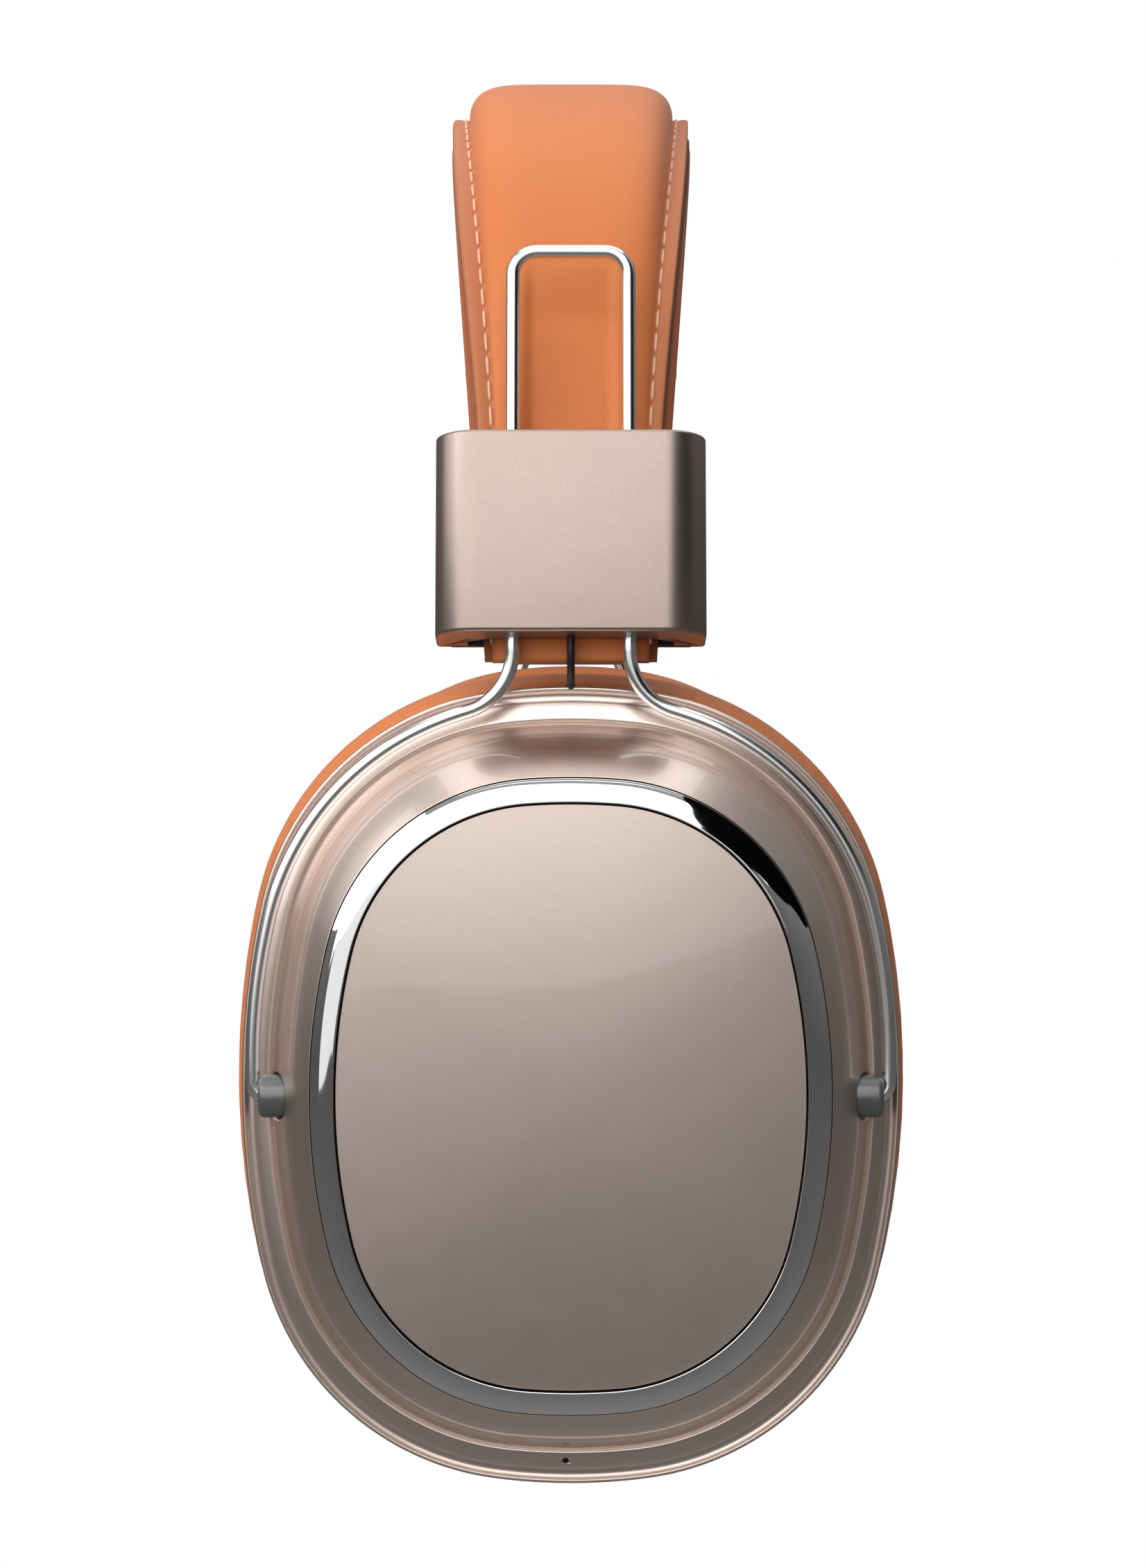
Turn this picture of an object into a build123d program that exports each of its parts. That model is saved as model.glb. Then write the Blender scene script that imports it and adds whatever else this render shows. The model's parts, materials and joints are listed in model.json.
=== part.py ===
"""Over-ear headphones: a sprung leather headband, two sleeves with sliding wire yokes, and two oval cups.

Millimetres. X runs from ear to ear (+X is the wearer's left), the wearer faces -Y, +Z is up. The origin is
the underside of the headband cushion at the crown, where the top of the head touches it.
"""

import os
from math import asin, cos, pi, radians, sin

from build123d import *

# ---- Driving dimensions ------------------------------------------------------------------------------
CROWN_R = 60.5  # inner radius of the headband arch, at the cushion's face
ARCH_Z = -CROWN_R  # height of the arch's centre
PIVOT_Z = ARCH_Z - 57.7  # height of the axis on which the cups tilt
LEAN = radians(11)  # the sleeves lean in at the top by this much
TAIL = 17.3  # straight length of the band past the end of its arc
FAR = 100.0  # longer than anything in the object

BAND_R, BAND_T, BAND_W = 69.0, 0.8, 14.0  # spring steel strip
LINING_R, LINING_T = 67.9, 1.0  # inner leather
COVER_R, COVER_T = 69.9, 1.7  # outer leather
PAD_FOOT_R = 72.0  # the raised pad's height where it is thinnest
PAD_TOP_R = 77.7  # the raised pad's height at the crown
PAD_ROUND = 70.14  # radius of the raised pad's own arc
PAD_SKIN = 1.1  # leather over the crown foam
PAD_FLOOR = 70.9  # where the crown foam starts
CUSHION_HALF, CUSHION_ARC = 14.0, 67.0  # headband cushion: half width, and degrees each side of the crown
CABLE_Y, CABLE_R = 9.6, 0.42  # the cable that joins the cups, in the headband

SLEEVE_IN, SLEEVE_OUT = 66.4, 77.6  # distances from the arch's centre
SLEEVE_LOW, SLEEVE_HIGH = -14.6, 11.0  # along the band
SLEEVE_HALF, SLEEVE_CORNER = 16.95, 5.2
PLATE_HALF, PLATE_T = 15.1, 1.2  # back plate of the sleeve
CHANNEL_HALF = 12.95  # the band's channel through the sleeve
SLEEVE_SKIN = 1.5
GAP = 0.05  # between fixed neighbours

WIRE_R = 0.9  # yoke wire
WIRE_N = 73.5  # its distance from the arch's centre in the sleeve
LEG_HALF = 7.3  # half the distance between its two legs
LOOP_TOP, LOOP_CORNER = 34.95, 3.0  # top of the loop along the sleeve, and its corner radius
LEG_BEND, LEG_BEND_START = 8.0, -14.8  # the bend from leaning to upright, just under the sleeve
SHOULDER_R = 7.8  # the bend from the legs to the arms
ARM = (39.75, 45.4, 77.0, 45.0, 35.0)  # oval that the arms follow
ARM_RISE = 4.6  # its centre above the pivot
PIVOT_BEND = 1.6
PIN_END = 31.3
SLIDE_FIT = 0.04
BARREL_R, BARREL_IN, BARREL_OUT = 2.68, 35.3, 39.0
LEAD_R, LEAD_BEND = 0.5, 4.0

CUP_X, CUP_RISE = 72.0, 0.85  # rim plane, and the cup's centre above the pivot
# Ovals as half width, half height, side radius, end radius, corner radius.
RIM = (41.4, 50.35, 107.0, 73.0, 34.6)
RING = (32.2, 39.4, 80.0, 76.0, 27.0)
EAR = (21.0, 29.5, 60.0, 30.0, 17.0)
WALL = 1.8
RING_W, RING_TOP = 3.2, 13.4
DECK = 11.8  # height of the cup's flat top above the rim plane
BACK = -7.0  # height of the cup's open edge
PAD_FACE = -27.0  # height of the ear cushion's face
SKIRT = 40.0 - RIM[0]  # offset of the recess in the back of the ear cushion

BUTTON_ANGLES = {"power_button": -28, "volume_up_button": -44, "volume_down_button": -60}
BUTTON_L, BUTTON_W, BUTTON_T, BUTTON_PROUD, BUTTON_FIT = 7.0, 3.0, 2.6, 0.45, 0.15
PORT_H = -3.9  # height of the ports' middle
JACK_Y, JACK_BORE, JACK_R, JACK_L = -9.0, 1.75, 2.15, 13.0
USB_Y, USB_W, USB_T, USB_L = 10.0, 9.0, 3.3, 7.5
MIC_Y, MIC_Z = -0.65, -47.3
LIGHT_Y, LIGHT_R = 3.3, 0.8
BOARD_H = 3.4
SCREW_Y, SCREW_Z = 24.0, 33.0
DRIVER_R = 20.0

ARCH = Pos(0, 0, ARCH_Z)
OUT = Vector(cos(LEAN), 0, sin(LEAN))  # away from the arch's centre, through the sleeve
UP = Vector(-sin(LEAN), 0, cos(LEAN))  # along the sleeve
SLEEVE = Plane(origin=(0, 0, ARCH_Z), x_dir=(0, -1, 0), z_dir=tuple(UP))
CUP = Plane(origin=(CUP_X, 0, PIVOT_Z + CUP_RISE), x_dir=(0, 1, 0), z_dir=(1, 0, 0))
STAND = (Align.CENTER, Align.CENTER, Align.MIN)


# ---- Outlines -------------------------------------------------------------------------------------------
def corner_centre(size):
    """Centre of the arc that joins an oval's side arc to its end arc: where two circles cross."""
    half_w, half_h, side_r, end_r, corner_r = size
    side, end = Vector(half_w - side_r, 0), Vector(0, half_h - end_r)
    gap = (end - side).length
    reach, other = side_r - corner_r, end_r - corner_r
    along = (reach**2 - other**2 + gap**2) / (2 * gap)
    across = (reach**2 - along**2) ** 0.5
    way = (end - side).normalized()
    sides = [side + way * along + Vector(-way.Y, way.X) * (across * s) for s in (1, -1)]
    return max(sides, key=lambda p: p.X + p.Y)


def oval_points(size):
    """Where the corner arc starts, its middle and its end, in the first quarter."""
    half_w, half_h, side_r, end_r, corner_r = size
    centre = corner_centre(size)
    start = centre + (centre - Vector(half_w - side_r, 0)).normalized() * corner_r
    end = centre + (centre - Vector(0, half_h - end_r)).normalized() * corner_r
    middle = centre + (start + end - centre * 2).normalized() * corner_r
    return start, middle, end


def oval(size):
    """Face of an oval of eight tangent arcs."""
    start, middle, end = oval_points(size)
    quarter = [Vector(size[0], 0), start, middle, end, Vector(0, size[1])]

    def turned(point, sx, sy):
        return (point.X * sx, point.Y * sy)

    edges = []
    for sx, sy in ((1, 1), (-1, 1), (-1, -1), (1, -1)):
        p = [turned(point, sx, sy) for point in quarter]
        edges.append(ThreePointArc(p[1], p[2], p[3]))
    right, top = turned(quarter[0], 1, 1), turned(quarter[4], 1, 1)
    edges.append(ThreePointArc(turned(start, 1, -1), right, turned(start, 1, 1)))
    edges.append(ThreePointArc(turned(start, -1, -1), turned(quarter[0], -1, 1), turned(start, -1, 1)))
    edges.append(ThreePointArc(turned(end, 1, 1), top, turned(end, -1, 1)))
    edges.append(ThreePointArc(turned(end, 1, -1), turned(quarter[4], 1, -1), turned(end, -1, -1)))
    return Face(Wire(edges))


def grown(size, offset, extra=0.0):
    """The oval parallel to this one, outside it by offset; extra is added to its height alone."""
    return (size[0] + offset, size[1] + offset + extra, *(r + offset for r in size[2:]))


def between(t, first=RIM, last=RING):
    """An oval part of the way from one to another."""
    return tuple(a + (b - a) * t for a, b in zip(first, last))


def at_height(shape, height):
    """Stands a flat shape or a part of the cup at a height above the left cup's rim plane."""
    return CUP * (Pos(0, 0, height) * shape)


def slab(size, low, high, hole=None):
    """An oval plate between two heights, with an oval hole if one is given."""
    plate = extrude(oval(size), high - low)
    if hole:
        plate -= extrude(oval(hole), high - low)
    return at_height(plate, low)


def stack(levels):
    """A solid through ovals at given heights."""
    return loft([at_height(oval(size), height) for height, size in levels], ruled=True)


def post(radius, y, z, low, high):
    """A round post that stands on the cup's plane."""
    return at_height(Pos(y, z, low) * Cylinder(radius, high - low, align=STAND), 0)


def pivot_rod(radius, near, far, side=1):
    """A round rod on the pivot axis between two distances from the middle."""
    rod = Cylinder(radius, far - near, align=STAND)
    return Pos(PIVOT_X, side * near, PIVOT_Z) * Rot(-90 * side, 0, 0) * rod


def sleeve_box(half, n_low, n_high, s_low, s_high):
    """A block in the sleeve, by half width, distance from the arch's centre and place along it."""
    return SLEEVE * (Pos(0, n_low, s_low) * Box(
        2 * half, n_high - n_low, s_high - s_low, align=(Align.CENTER, Align.MIN, Align.MIN)
    ))


def sleeve_rod(radius, u, n, s_low, s_high):
    """A rod along the sleeve."""
    rod = Cylinder(radius, s_high - s_low, align=STAND)
    return SLEEVE * (Pos(u, n, s_low) * rod)


# ---- Headband -------------------------------------------------------------------------------------------
def arch_face(r_in, r_out):
    """The headband's side view between two radii: an arc over the crown with a straight tail at each end."""
    def place(radius, side, drop):
        point = OUT * radius - UP * drop
        return (side * point.X, point.Z)

    outer = [place(r_out, side, 0) for side in (1, -1)]
    inner = [place(r_in, side, 0) for side in (1, -1)]
    outer_end = [place(r_out, side, TAIL) for side in (1, -1)]
    inner_end = [place(r_in, side, TAIL) for side in (1, -1)]
    edges = [ThreePointArc(outer[0], (0, r_out), outer[1]), ThreePointArc(inner[0], (0, r_in), inner[1])]
    for k in (0, 1):
        edges += [Line(outer[k], outer_end[k]), Line(outer_end[k], inner_end[k]), Line(inner_end[k], inner[k])]
    return Plane.XZ * Face(Wire(edges))


def arch(r_in, r_out, half_width):
    """A strip of the headband of one width."""
    return ARCH * extrude(arch_face(r_in, r_out), half_width, both=True)


def side_outline(low, middle, high, inset=0.0):
    """A prism along X of the headband's outline as the ear sees it, from half widths at three heights."""
    (w0, z0), (w1, z1), (w2, z2) = [(w - inset, z) for w, z in (low, middle, high)]
    foot, top = -FAR / 4, PAD_TOP_R + 5
    edges = []
    for s in (1, -1):
        edges += [Line((s * w0, foot), (s * w0, z0)), ThreePointArc((s * w0, z0), (s * w1, z1), (s * w2, z2))]
        edges.append(Line((s * w2, z2), (s * w2, top)))
    edges += [Line((w0, foot), (-w0, foot)), Line((w2, top), (-w2, top))]
    return ARCH * extrude(Plane.YZ * Face(Wire(edges)), FAR, both=True)


def flange_outline():
    """The leather cover's outline: narrow at the sleeves, wide at the crown."""
    return side_outline((10.6, -5), (13.25, 33), (16.75, 73))


def pad_outline(inset=0.0):
    """The raised pad's outline."""
    return side_outline((9.85, 24), (12.0, 50), (15.0, 73), inset)


def crown_pad(skin=0.0, floor=PAD_FLOOR):
    """The raised pad over the crown: the space between two round arcs, inside the pad's outline."""
    centre_z = PAD_TOP_R - PAD_ROUND
    arc = Plane.XZ * (Pos(0, centre_z) * Circle(PAD_ROUND - skin) - Circle(floor))
    return ARCH * extrude(arc, FAR / 2, both=True) & pad_outline(skin)


def headband():
    """The fixed pieces of the headband."""
    raised = arch(COVER_R, PAD_FOOT_R, BAND_W) & pad_outline()
    cover = (arch(COVER_R, COVER_R + COVER_T, FAR / 4) & flange_outline()) + raised + crown_pad()
    hoop = Plane.XZ * (Circle(LINING_R) - Circle(CROWN_R))
    cushion = (ARCH * extrude(hoop, CUSHION_HALF, both=True)) & cushion_sector()
    cable = sweep(Plane(origin=(0, CABLE_Y, ARCH_Z + BAND_R + CABLE_R), z_dir=(1, 0, 0)) * Circle(CABLE_R),
                  Pos(0, CABLE_Y, ARCH_Z) * (Plane.XZ * cable_path()))
    return {
        "spring_band": arch(BAND_R, BAND_R + BAND_T, BAND_W / 2),
        "headband_cover": cover - crown_pad(PAD_SKIN),
        "crown_foam": crown_pad(PAD_SKIN + GAP, PAD_FLOOR + GAP),
        "headband_lining": arch(LINING_R, LINING_R + LINING_T, FAR / 4) & flange_outline(),
        "headband_cushion": cushion,
        "headband_cable": cable + mirror(cable, Plane.YZ),
    }


def cable_path():
    """Half of the headband cable's arc, from the crown to the sleeve."""
    return CenterArc((0, 0), BAND_R + CABLE_R, 90, -79)


def cushion_sector():
    """The stretch of the arch that the headband cushion covers."""
    ends = [(side * FAR * sin(radians(CUSHION_ARC)), FAR * cos(radians(CUSHION_ARC))) for side in (1, -1)]
    sector = Polyline((0, 0), ends[0], (ends[0][0], FAR), (ends[1][0], FAR), ends[1], close=True)
    return ARCH * extrude(Plane.XZ * make_face(sector), FAR / 2, both=True)


# ---- Sleeve -----------------------------------------------------------------------------------------------
def sleeve_bores(radius, lead_radius, low, high):
    """The holes that the yoke's legs and the lead slide in."""
    legs = [sleeve_rod(radius, u, WIRE_N, low, high) for u in (LEG_HALF, -LEG_HALF)]
    return legs + [sleeve_rod(lead_radius, 0, WIRE_N, low, high)]


def screw_places():
    """Where the sleeve's four screws go: across it and along it."""
    middle = (CHANNEL_HALF + PLATE_HALF) / 2
    return [(u, s) for u in (middle, -middle) for s in (SLEEVE_LOW + 4.5, SLEEVE_HIGH - 4.5)]


def small_screw(radius, head_r, head_t, length):
    """A screw with its head's face at z = 0, pointing along +Z."""
    return Cylinder(head_r, head_t, align=STAND) + Cylinder(radius, length, align=STAND)


def sleeve():
    """The left sleeve: an outer shell, a back plate, a guide for the wire's legs, and its screws."""
    length = SLEEVE_HIGH - SLEEVE_LOW
    profile = Pos(0, (SLEEVE_IN + SLEEVE_OUT) / 2) * Rectangle(2 * SLEEVE_HALF, SLEEVE_OUT - SLEEVE_IN)
    front = profile.vertices().sort_by(Axis.Y)[-2:]
    block = SLEEVE * (Pos(0, 0, SLEEVE_LOW) * extrude(fillet(front, SLEEVE_CORNER), length))
    plate_top = SLEEVE_IN + PLATE_T
    guide_low, guide_high = PAD_FOOT_R + GAP, SLEEVE_OUT - SLEEVE_SKIN
    ends = (SLEEVE_LOW + SLEEVE_SKIN, SLEEVE_HIGH - SLEEVE_SKIN)
    shell = block - sleeve_box(PLATE_HALF + GAP, 0, plate_top + GAP, -FAR, FAR)
    shell -= sleeve_box(CHANNEL_HALF, 0, guide_low, -FAR, FAR)
    shell -= sleeve_box(CHANNEL_HALF, guide_low, guide_high + GAP, *ends)
    plate = sleeve_box(PLATE_HALF, SLEEVE_IN, plate_top, SLEEVE_LOW, SLEEVE_HIGH)
    plate -= arch(LINING_R - GAP, PAD_FOOT_R, FAR / 4)
    guide = sleeve_box(CHANNEL_HALF - GAP, guide_low + GAP, guide_high, ends[0] + GAP, ends[1] - GAP)
    for bore in sleeve_bores(WIRE_R + SLIDE_FIT, LEAD_R + SLIDE_FIT, -FAR, FAR):
        shell -= bore
        guide -= bore
    screws = []
    for u, s in screw_places():
        seat = SLEEVE * (Pos(u, SLEEVE_IN, s) * Rot(-90, 0, 0))
        screws.append(seat * small_screw(0.7, 1.0, 0.6, 5.5))
        plate -= seat * small_screw(0.75, 1.05, 0.65, 6)
        shell -= seat * small_screw(0.75, 0.75, 0.65, 6)
    return {"sleeve_shell": shell, "sleeve_back": plate, "slider_guide": guide}, screws


# ---- Yoke ------------------------------------------------------------------------------------------------
def in_sleeve(along):
    """A point on the middle line of the yoke's legs, by its place along the sleeve."""
    return OUT * WIRE_N + UP * along + Vector(0, 0, ARCH_Z)


BEND_TOP = in_sleeve(LEG_BEND_START)
PIVOT_X = BEND_TOP.X + LEG_BEND * (1 - cos(LEAN))


def shoulder_height():
    """Height above the pivot of the shoulder bend's centre, which touches the arm's end arc from outside."""
    end_z = ARM_RISE + ARM[1] - ARM[3]
    return end_z + ((ARM[3] + SHOULDER_R) ** 2 - (LEG_HALF + SHOULDER_R) ** 2) ** 0.5


def half_wire_path():
    """Half of the yoke's centre line, from the middle of its loop down to the end of its pivot pin."""
    def lean(y, s):
        return Vector(0, y, 0) + in_sleeve(s)

    def upright(y, z):
        return Vector(PIVOT_X, y, PIVOT_Z + z)

    turn = LOOP_CORNER * (1 - cos(pi / 4))
    loop_mid = lean(LEG_HALF - turn, LOOP_TOP - turn)
    bend_mid = BEND_TOP + Vector(
        LEG_BEND * (cos(LEAN / 2) - cos(LEAN)), LEG_HALF, -LEG_BEND * (sin(LEAN) - sin(LEAN / 2))
    )
    bend_low = Vector(PIVOT_X, LEG_HALF, BEND_TOP.Z - LEG_BEND * sin(LEAN))
    rise = shoulder_height()
    centre = Vector(LEG_HALF + SHOULDER_R, rise)
    end_c = Vector(0, ARM_RISE + ARM[1] - ARM[3])
    touch = end_c + (centre - end_c).normalized() * ARM[3]
    middle = centre + (touch + Vector(LEG_HALF, rise) - centre * 2).normalized() * SHOULDER_R
    start, corner, end = oval_points(ARM)
    arm_mid = end_c + (touch + Vector(end.X, end.Y + ARM_RISE) - end_c * 2).normalized() * ARM[3]
    side_c = Vector(ARM[0] - ARM[2], 0)
    side_mid = side_c + (start + Vector(ARM[0], 0) - side_c * 2).normalized() * ARM[2]
    pin_turn = PIVOT_BEND * (1 - cos(pi / 4))
    return [
        Line(lean(0, LOOP_TOP), lean(LEG_HALF - LOOP_CORNER, LOOP_TOP)),
        ThreePointArc(lean(LEG_HALF - LOOP_CORNER, LOOP_TOP), loop_mid, lean(LEG_HALF, LOOP_TOP - LOOP_CORNER)),
        Line(lean(LEG_HALF, LOOP_TOP - LOOP_CORNER), lean(LEG_HALF, LEG_BEND_START)),
        ThreePointArc(lean(LEG_HALF, LEG_BEND_START), bend_mid, bend_low),
        Line(bend_low, upright(LEG_HALF, rise)),
        ThreePointArc(upright(LEG_HALF, rise), upright(middle.X, middle.Y), upright(touch.X, touch.Y)),
        ThreePointArc(upright(touch.X, touch.Y), upright(arm_mid.X, arm_mid.Y),
                      upright(end.X, end.Y + ARM_RISE)),
        ThreePointArc(upright(end.X, end.Y + ARM_RISE), upright(corner.X, corner.Y + ARM_RISE),
                      upright(start.X, start.Y + ARM_RISE)),
        ThreePointArc(upright(start.X, start.Y + ARM_RISE), upright(side_mid.X, side_mid.Y + ARM_RISE),
                      upright(ARM[0], ARM_RISE)),
        Line(upright(ARM[0], ARM_RISE), upright(ARM[0], PIVOT_BEND)),
        ThreePointArc(upright(ARM[0], PIVOT_BEND), upright(ARM[0] - pin_turn, pin_turn),
                      upright(ARM[0] - PIVOT_BEND, 0)),
        Line(upright(ARM[0] - PIVOT_BEND, 0), upright(PIN_END, 0)),
    ]


def wire(radius):
    """The whole yoke wire, swept along its path and mirrored front to back."""
    path = Wire(half_wire_path())
    section = Plane(origin=path @ 0, z_dir=path % 0) * Circle(radius)
    half = sweep(section, path)
    return half + mirror(half, Plane.XZ)


def lead_path():
    """The short lead from the sleeve to the cup: straight in the sleeve, then in to the top of the cup."""
    inlet = Vector(70.2, 0, PIVOT_Z + 50.2)
    return FilletPolyline(in_sleeve(SLEEVE_HIGH - 3), in_sleeve(SLEEVE_LOW - 2.2), inlet, radius=LEAD_BEND)


def yoke():
    """The left yoke: its wire, the barrels moulded over the wire's ends, and the lead beside it."""
    barrels = [pivot_rod(BARREL_R, BARREL_IN, BARREL_OUT, side) for side in (1, -1)]
    clear = wire(WIRE_R + 0.02)
    path = lead_path()
    lead = sweep(Plane(origin=path @ 0, z_dir=path % 0) * Circle(LEAD_R), path)
    return {
        "yoke_wire": wire(WIRE_R),
        "pivot_barrels": Compound(children=[barrel - clear for barrel in barrels]),
        "cup_lead": lead,
    }


# ---- Cup --------------------------------------------------------------------------------------------------
def cup_outside():
    """The housing's outside: a short wall, a rounded lip, a low ridge under the yoke, and a steep dome."""
    return stack([
        (BACK, grown(RIM, -0.8)),
        (-0.8, RIM),
        (0.0, grown(RIM, -0.5)),
        (0.75, between(0.36)),
        (0.6, between(0.40)),
        (3.7, between(0.54)),
        (6.7, between(0.68)),
        (9.4, between(0.84)),
        (DECK, RING),
    ])


def cup_inside():
    """The space in the housing, open at the back."""
    return stack([
        (BACK - 1, grown(RIM, -0.8 - WALL)),
        (-1.8, grown(RIM, -WALL)),
        (-1.2, grown(between(0.4), -WALL)),
        (3.7, grown(between(0.54), -WALL)),
        (6.7, grown(between(0.68), -WALL)),
        (DECK - WALL, grown(RING, -WALL / 2)),
    ])


def corner_spots():
    """The four places of the screws that hold the baffle."""
    return [(y, z) for y in (SCREW_Y, -SCREW_Y) for z in (SCREW_Z, -SCREW_Z)]


def lead_hole(radius, reach=3.0):
    """A rod on the lead's line where it enters the cup."""
    path = lead_path()
    line = Plane(origin=path @ 1, z_dir=path % 1)
    return line * (Pos(0, 0, -reach) * Cylinder(radius, 2 * reach))


def grommet():
    """The rubber grommet round the lead: a plug in the housing with a small collar outside."""
    path = lead_path()
    line = Plane(origin=path @ 1 - (path % 1) * 1.6, z_dir=path % 1)
    body = line * (Pos(0, 0, 1.6) * Cylinder(1.3, 3.2))
    return body - lead_hole(LEAD_R + SLIDE_FIT, 8)


def housing():
    """The left cup's housing without its holes for the controls."""
    outside = cup_outside()
    shell = outside - cup_inside()
    extras = [pivot_rod(BARREL_R + 1.6, 30.5, 40.0, side) for side in (1, -1)]
    extras += [post(2.4, y, z, BACK, DECK) for y, z in corner_spots()]
    for extra in extras:
        shell += extra & outside
    for side in (1, -1):
        shell -= pivot_rod(BARREL_R + 0.45, BARREL_IN - 0.7, BARREL_OUT + 0.6, side)
        shell -= pivot_rod(1.62, 28, 38, side)
    for y, z in corner_spots():
        shell -= post(0.9, y, z, BACK - 1, BACK + 8)
    return shell - grommet_hole()


def grommet_hole():
    """The hole that the grommet fills."""
    path = lead_path()
    return Plane(origin=path @ 1, z_dir=path % 1) * Cylinder(1.34, 8)


def ear_side():
    """The pieces on the ear side of a cup: baffle, driver, cushion and its mount."""
    baffle = slab(grown(RIM, -1.8), BACK - 1.4, BACK)
    baffle -= post(DRIVER_R + 0.3, 0, 0, BACK - 2, BACK + 1)
    screws = []
    for y, z in corner_spots():
        baffle -= post(0.95, y, z, BACK - 2, BACK + 1)
        baffle -= post(1.9, y, z, BACK - 2, BACK - 0.6)
        screws.append(post(1.8, y, z, BACK - 1.35, BACK - 0.65) + post(0.85, y, z, BACK - 1.35, BACK + 6))
    mount_low = BACK - 2.8
    mount = slab(grown(RIM, -2.4), mount_low, BACK - 1.45, grown(EAR, 2.5))
    cushion = stack([
        (BACK - 0.35, grown(RIM, 0.4, 0.4)),
        (BACK - 3, grown(RIM, 1.6, 0.3)),
        (BACK - 8, grown(RIM, 1.9, 0.35)),
        (BACK - 15, grown(RIM, 1.2, 0.3)),
        (BACK - 18.5, grown(RIM, -0.8)),
        (PAD_FACE, grown(RIM, -5.0)),
    ])
    cushion -= slab(grown(RIM, SKIRT), mount_low - GAP, BACK + 1)
    cushion -= slab(EAR, PAD_FACE - 1, BACK + 1)
    mesh = slab(grown(EAR, 2.3), mount_low + 0.6, mount_low + 1.0)
    basket = post(DRIVER_R, 0, 0, BACK - 1.2, BACK + 4) - post(DRIVER_R - 1, 0, 0, BACK - 2, BACK + 3)
    basket += post(DRIVER_R + 3, 0, 0, BACK + GAP, BACK + 1.2) - post(DRIVER_R - 1, 0, 0, BACK, BACK + 2)
    basket -= post(8.5, 0, 0, BACK, BACK + 5)
    for k in range(6):
        turn = 2 * pi * k / 6
        basket -= post(3.0, 13.6 * cos(turn), 13.6 * sin(turn), BACK + 2, BACK + 5)
    cone = post(DRIVER_R - 1.1, 0, 0, BACK - 0.2, BACK + 0.2) + post(7.0, 0, 0, BACK - 0.2, BACK + 1.6)
    return {
        "baffle": baffle,
        "cushion_mount": mount,
        "ear_cushion": cushion,
        "ear_mesh": mesh,
        "driver_basket": basket,
        "driver_diaphragm": cone,
        "driver_magnet": post(8.4, 0, 0, BACK + 2.2, BACK + 7.5) + post(11, 0, 0, BACK + 4.1, BACK + 7.5),
        "baffle_screws": Compound(children=screws),
    }


def outer_side():
    """The pieces on the outside of a cup: trim ring, face plate and the parts round the pivots."""
    ring = slab(RING, DECK, RING_TOP, grown(RING, -RING_W))
    rims = ring.edges().filter_by_position(Axis.X, CUP_X + RING_TOP - 0.01, CUP_X + RING_TOP + 0.01)
    plate = stack([
        (DECK, grown(RING, -RING_W - 0.05)),
        (DECK + 1.0, grown(RING, -RING_W - 0.05)),
        (DECK + 1.5, grown(RING, -RING_W - 1.2)),
        (DECK + 2.2, grown(RING, -RING_W - 9)),
        (DECK + 2.4, grown(RING, -RING_W - 17)),
    ])
    bore = WIRE_R + SLIDE_FIT
    bushes = [pivot_rod(1.6, 31.0, 34.5, side) - pivot_rod(bore, 30, 36, side) for side in (1, -1)]
    return {
        "trim_ring": fillet(rims, 0.5),
        "face_plate": plate,
        "pivot_bushes": Compound(children=bushes),
        "lead_grommet": grommet(),
        "acoustic_foam": slab(grown(RING, -4), DECK - 4.3, DECK - 2.0),
    }


def wall_seat(angle, depth):
    """A place on the housing's wall at the lower back corner: Z points out, X runs round the wall."""
    centre = corner_centre(grown(RIM, -0.4))
    turn = radians(angle)
    way = Vector(cos(turn), sin(turn))
    point = Vector(centre.X, -centre.Y) + way * (RIM[4] - 0.4 - depth)
    seat = Plane(origin=(point.X, point.Y, PORT_H), x_dir=(-way.Y, way.X, 0), z_dir=tuple(way)).location
    return CUP.location * seat


def port_seat(y, sink=0.0):
    """A place on the housing's wall at the bottom of the cup: Z points into the housing, X out of the ear."""
    radius = RIM[3] - 0.8
    turn = asin(y / radius)
    way = Vector(sin(turn), -cos(turn))
    point = Vector(0, RIM[3] - RIM[1]) + way * (radius - sink)
    seat = Plane(origin=(point.X, point.Y, PORT_H), x_dir=(0, 0, 1), z_dir=tuple(-way)).location
    return CUP.location * seat


def button(grow=0.0):
    """A button as a rounded block whose face is at z = 0, or the hole that it moves in."""
    key = Box(BUTTON_L + 2 * grow, BUTTON_W + 2 * grow, BUTTON_T + 8 * grow)
    return fillet(key.edges().filter_by(Axis.Z), 1.2)


def controls(shell):
    """The left cup's controls and ports. Cuts their holes and returns the housing with them."""
    parts = {}
    for name, angle in BUTTON_ANGLES.items():
        seat = wall_seat(angle, BUTTON_T / 2 - BUTTON_PROUD)
        parts[name] = seat * button()
        shell -= seat * button(BUTTON_FIT)
    jack = Cylinder(JACK_R, JACK_L, align=STAND) - Cylinder(JACK_BORE, JACK_L - 1, align=STAND)
    parts["aux_jack"] = port_seat(JACK_Y) * jack
    shell -= port_seat(JACK_Y, -3) * Cylinder(JACK_R + GAP, 8, align=STAND)
    parts["usb_port"] = port_seat(USB_Y) * usb_inlet()
    shell -= port_seat(USB_Y, -3) * extrude(RectangleRounded(USB_T + 0.1, USB_W + 0.1, USB_T / 2), 8)
    parts["microphone"] = post(1.7, MIC_Y, MIC_Z + 0.6, -3.4, -1.85)
    shell -= post(0.4, MIC_Y, MIC_Z, -3, 3)
    parts["status_light"] = port_seat(LIGHT_Y) * Cylinder(LIGHT_R, 4.5, align=STAND)
    shell -= port_seat(LIGHT_Y, -3) * Cylinder(LIGHT_R + GAP, 9, align=STAND)
    parts["circuit_board"] = circuit_board()
    return shell, parts


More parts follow.
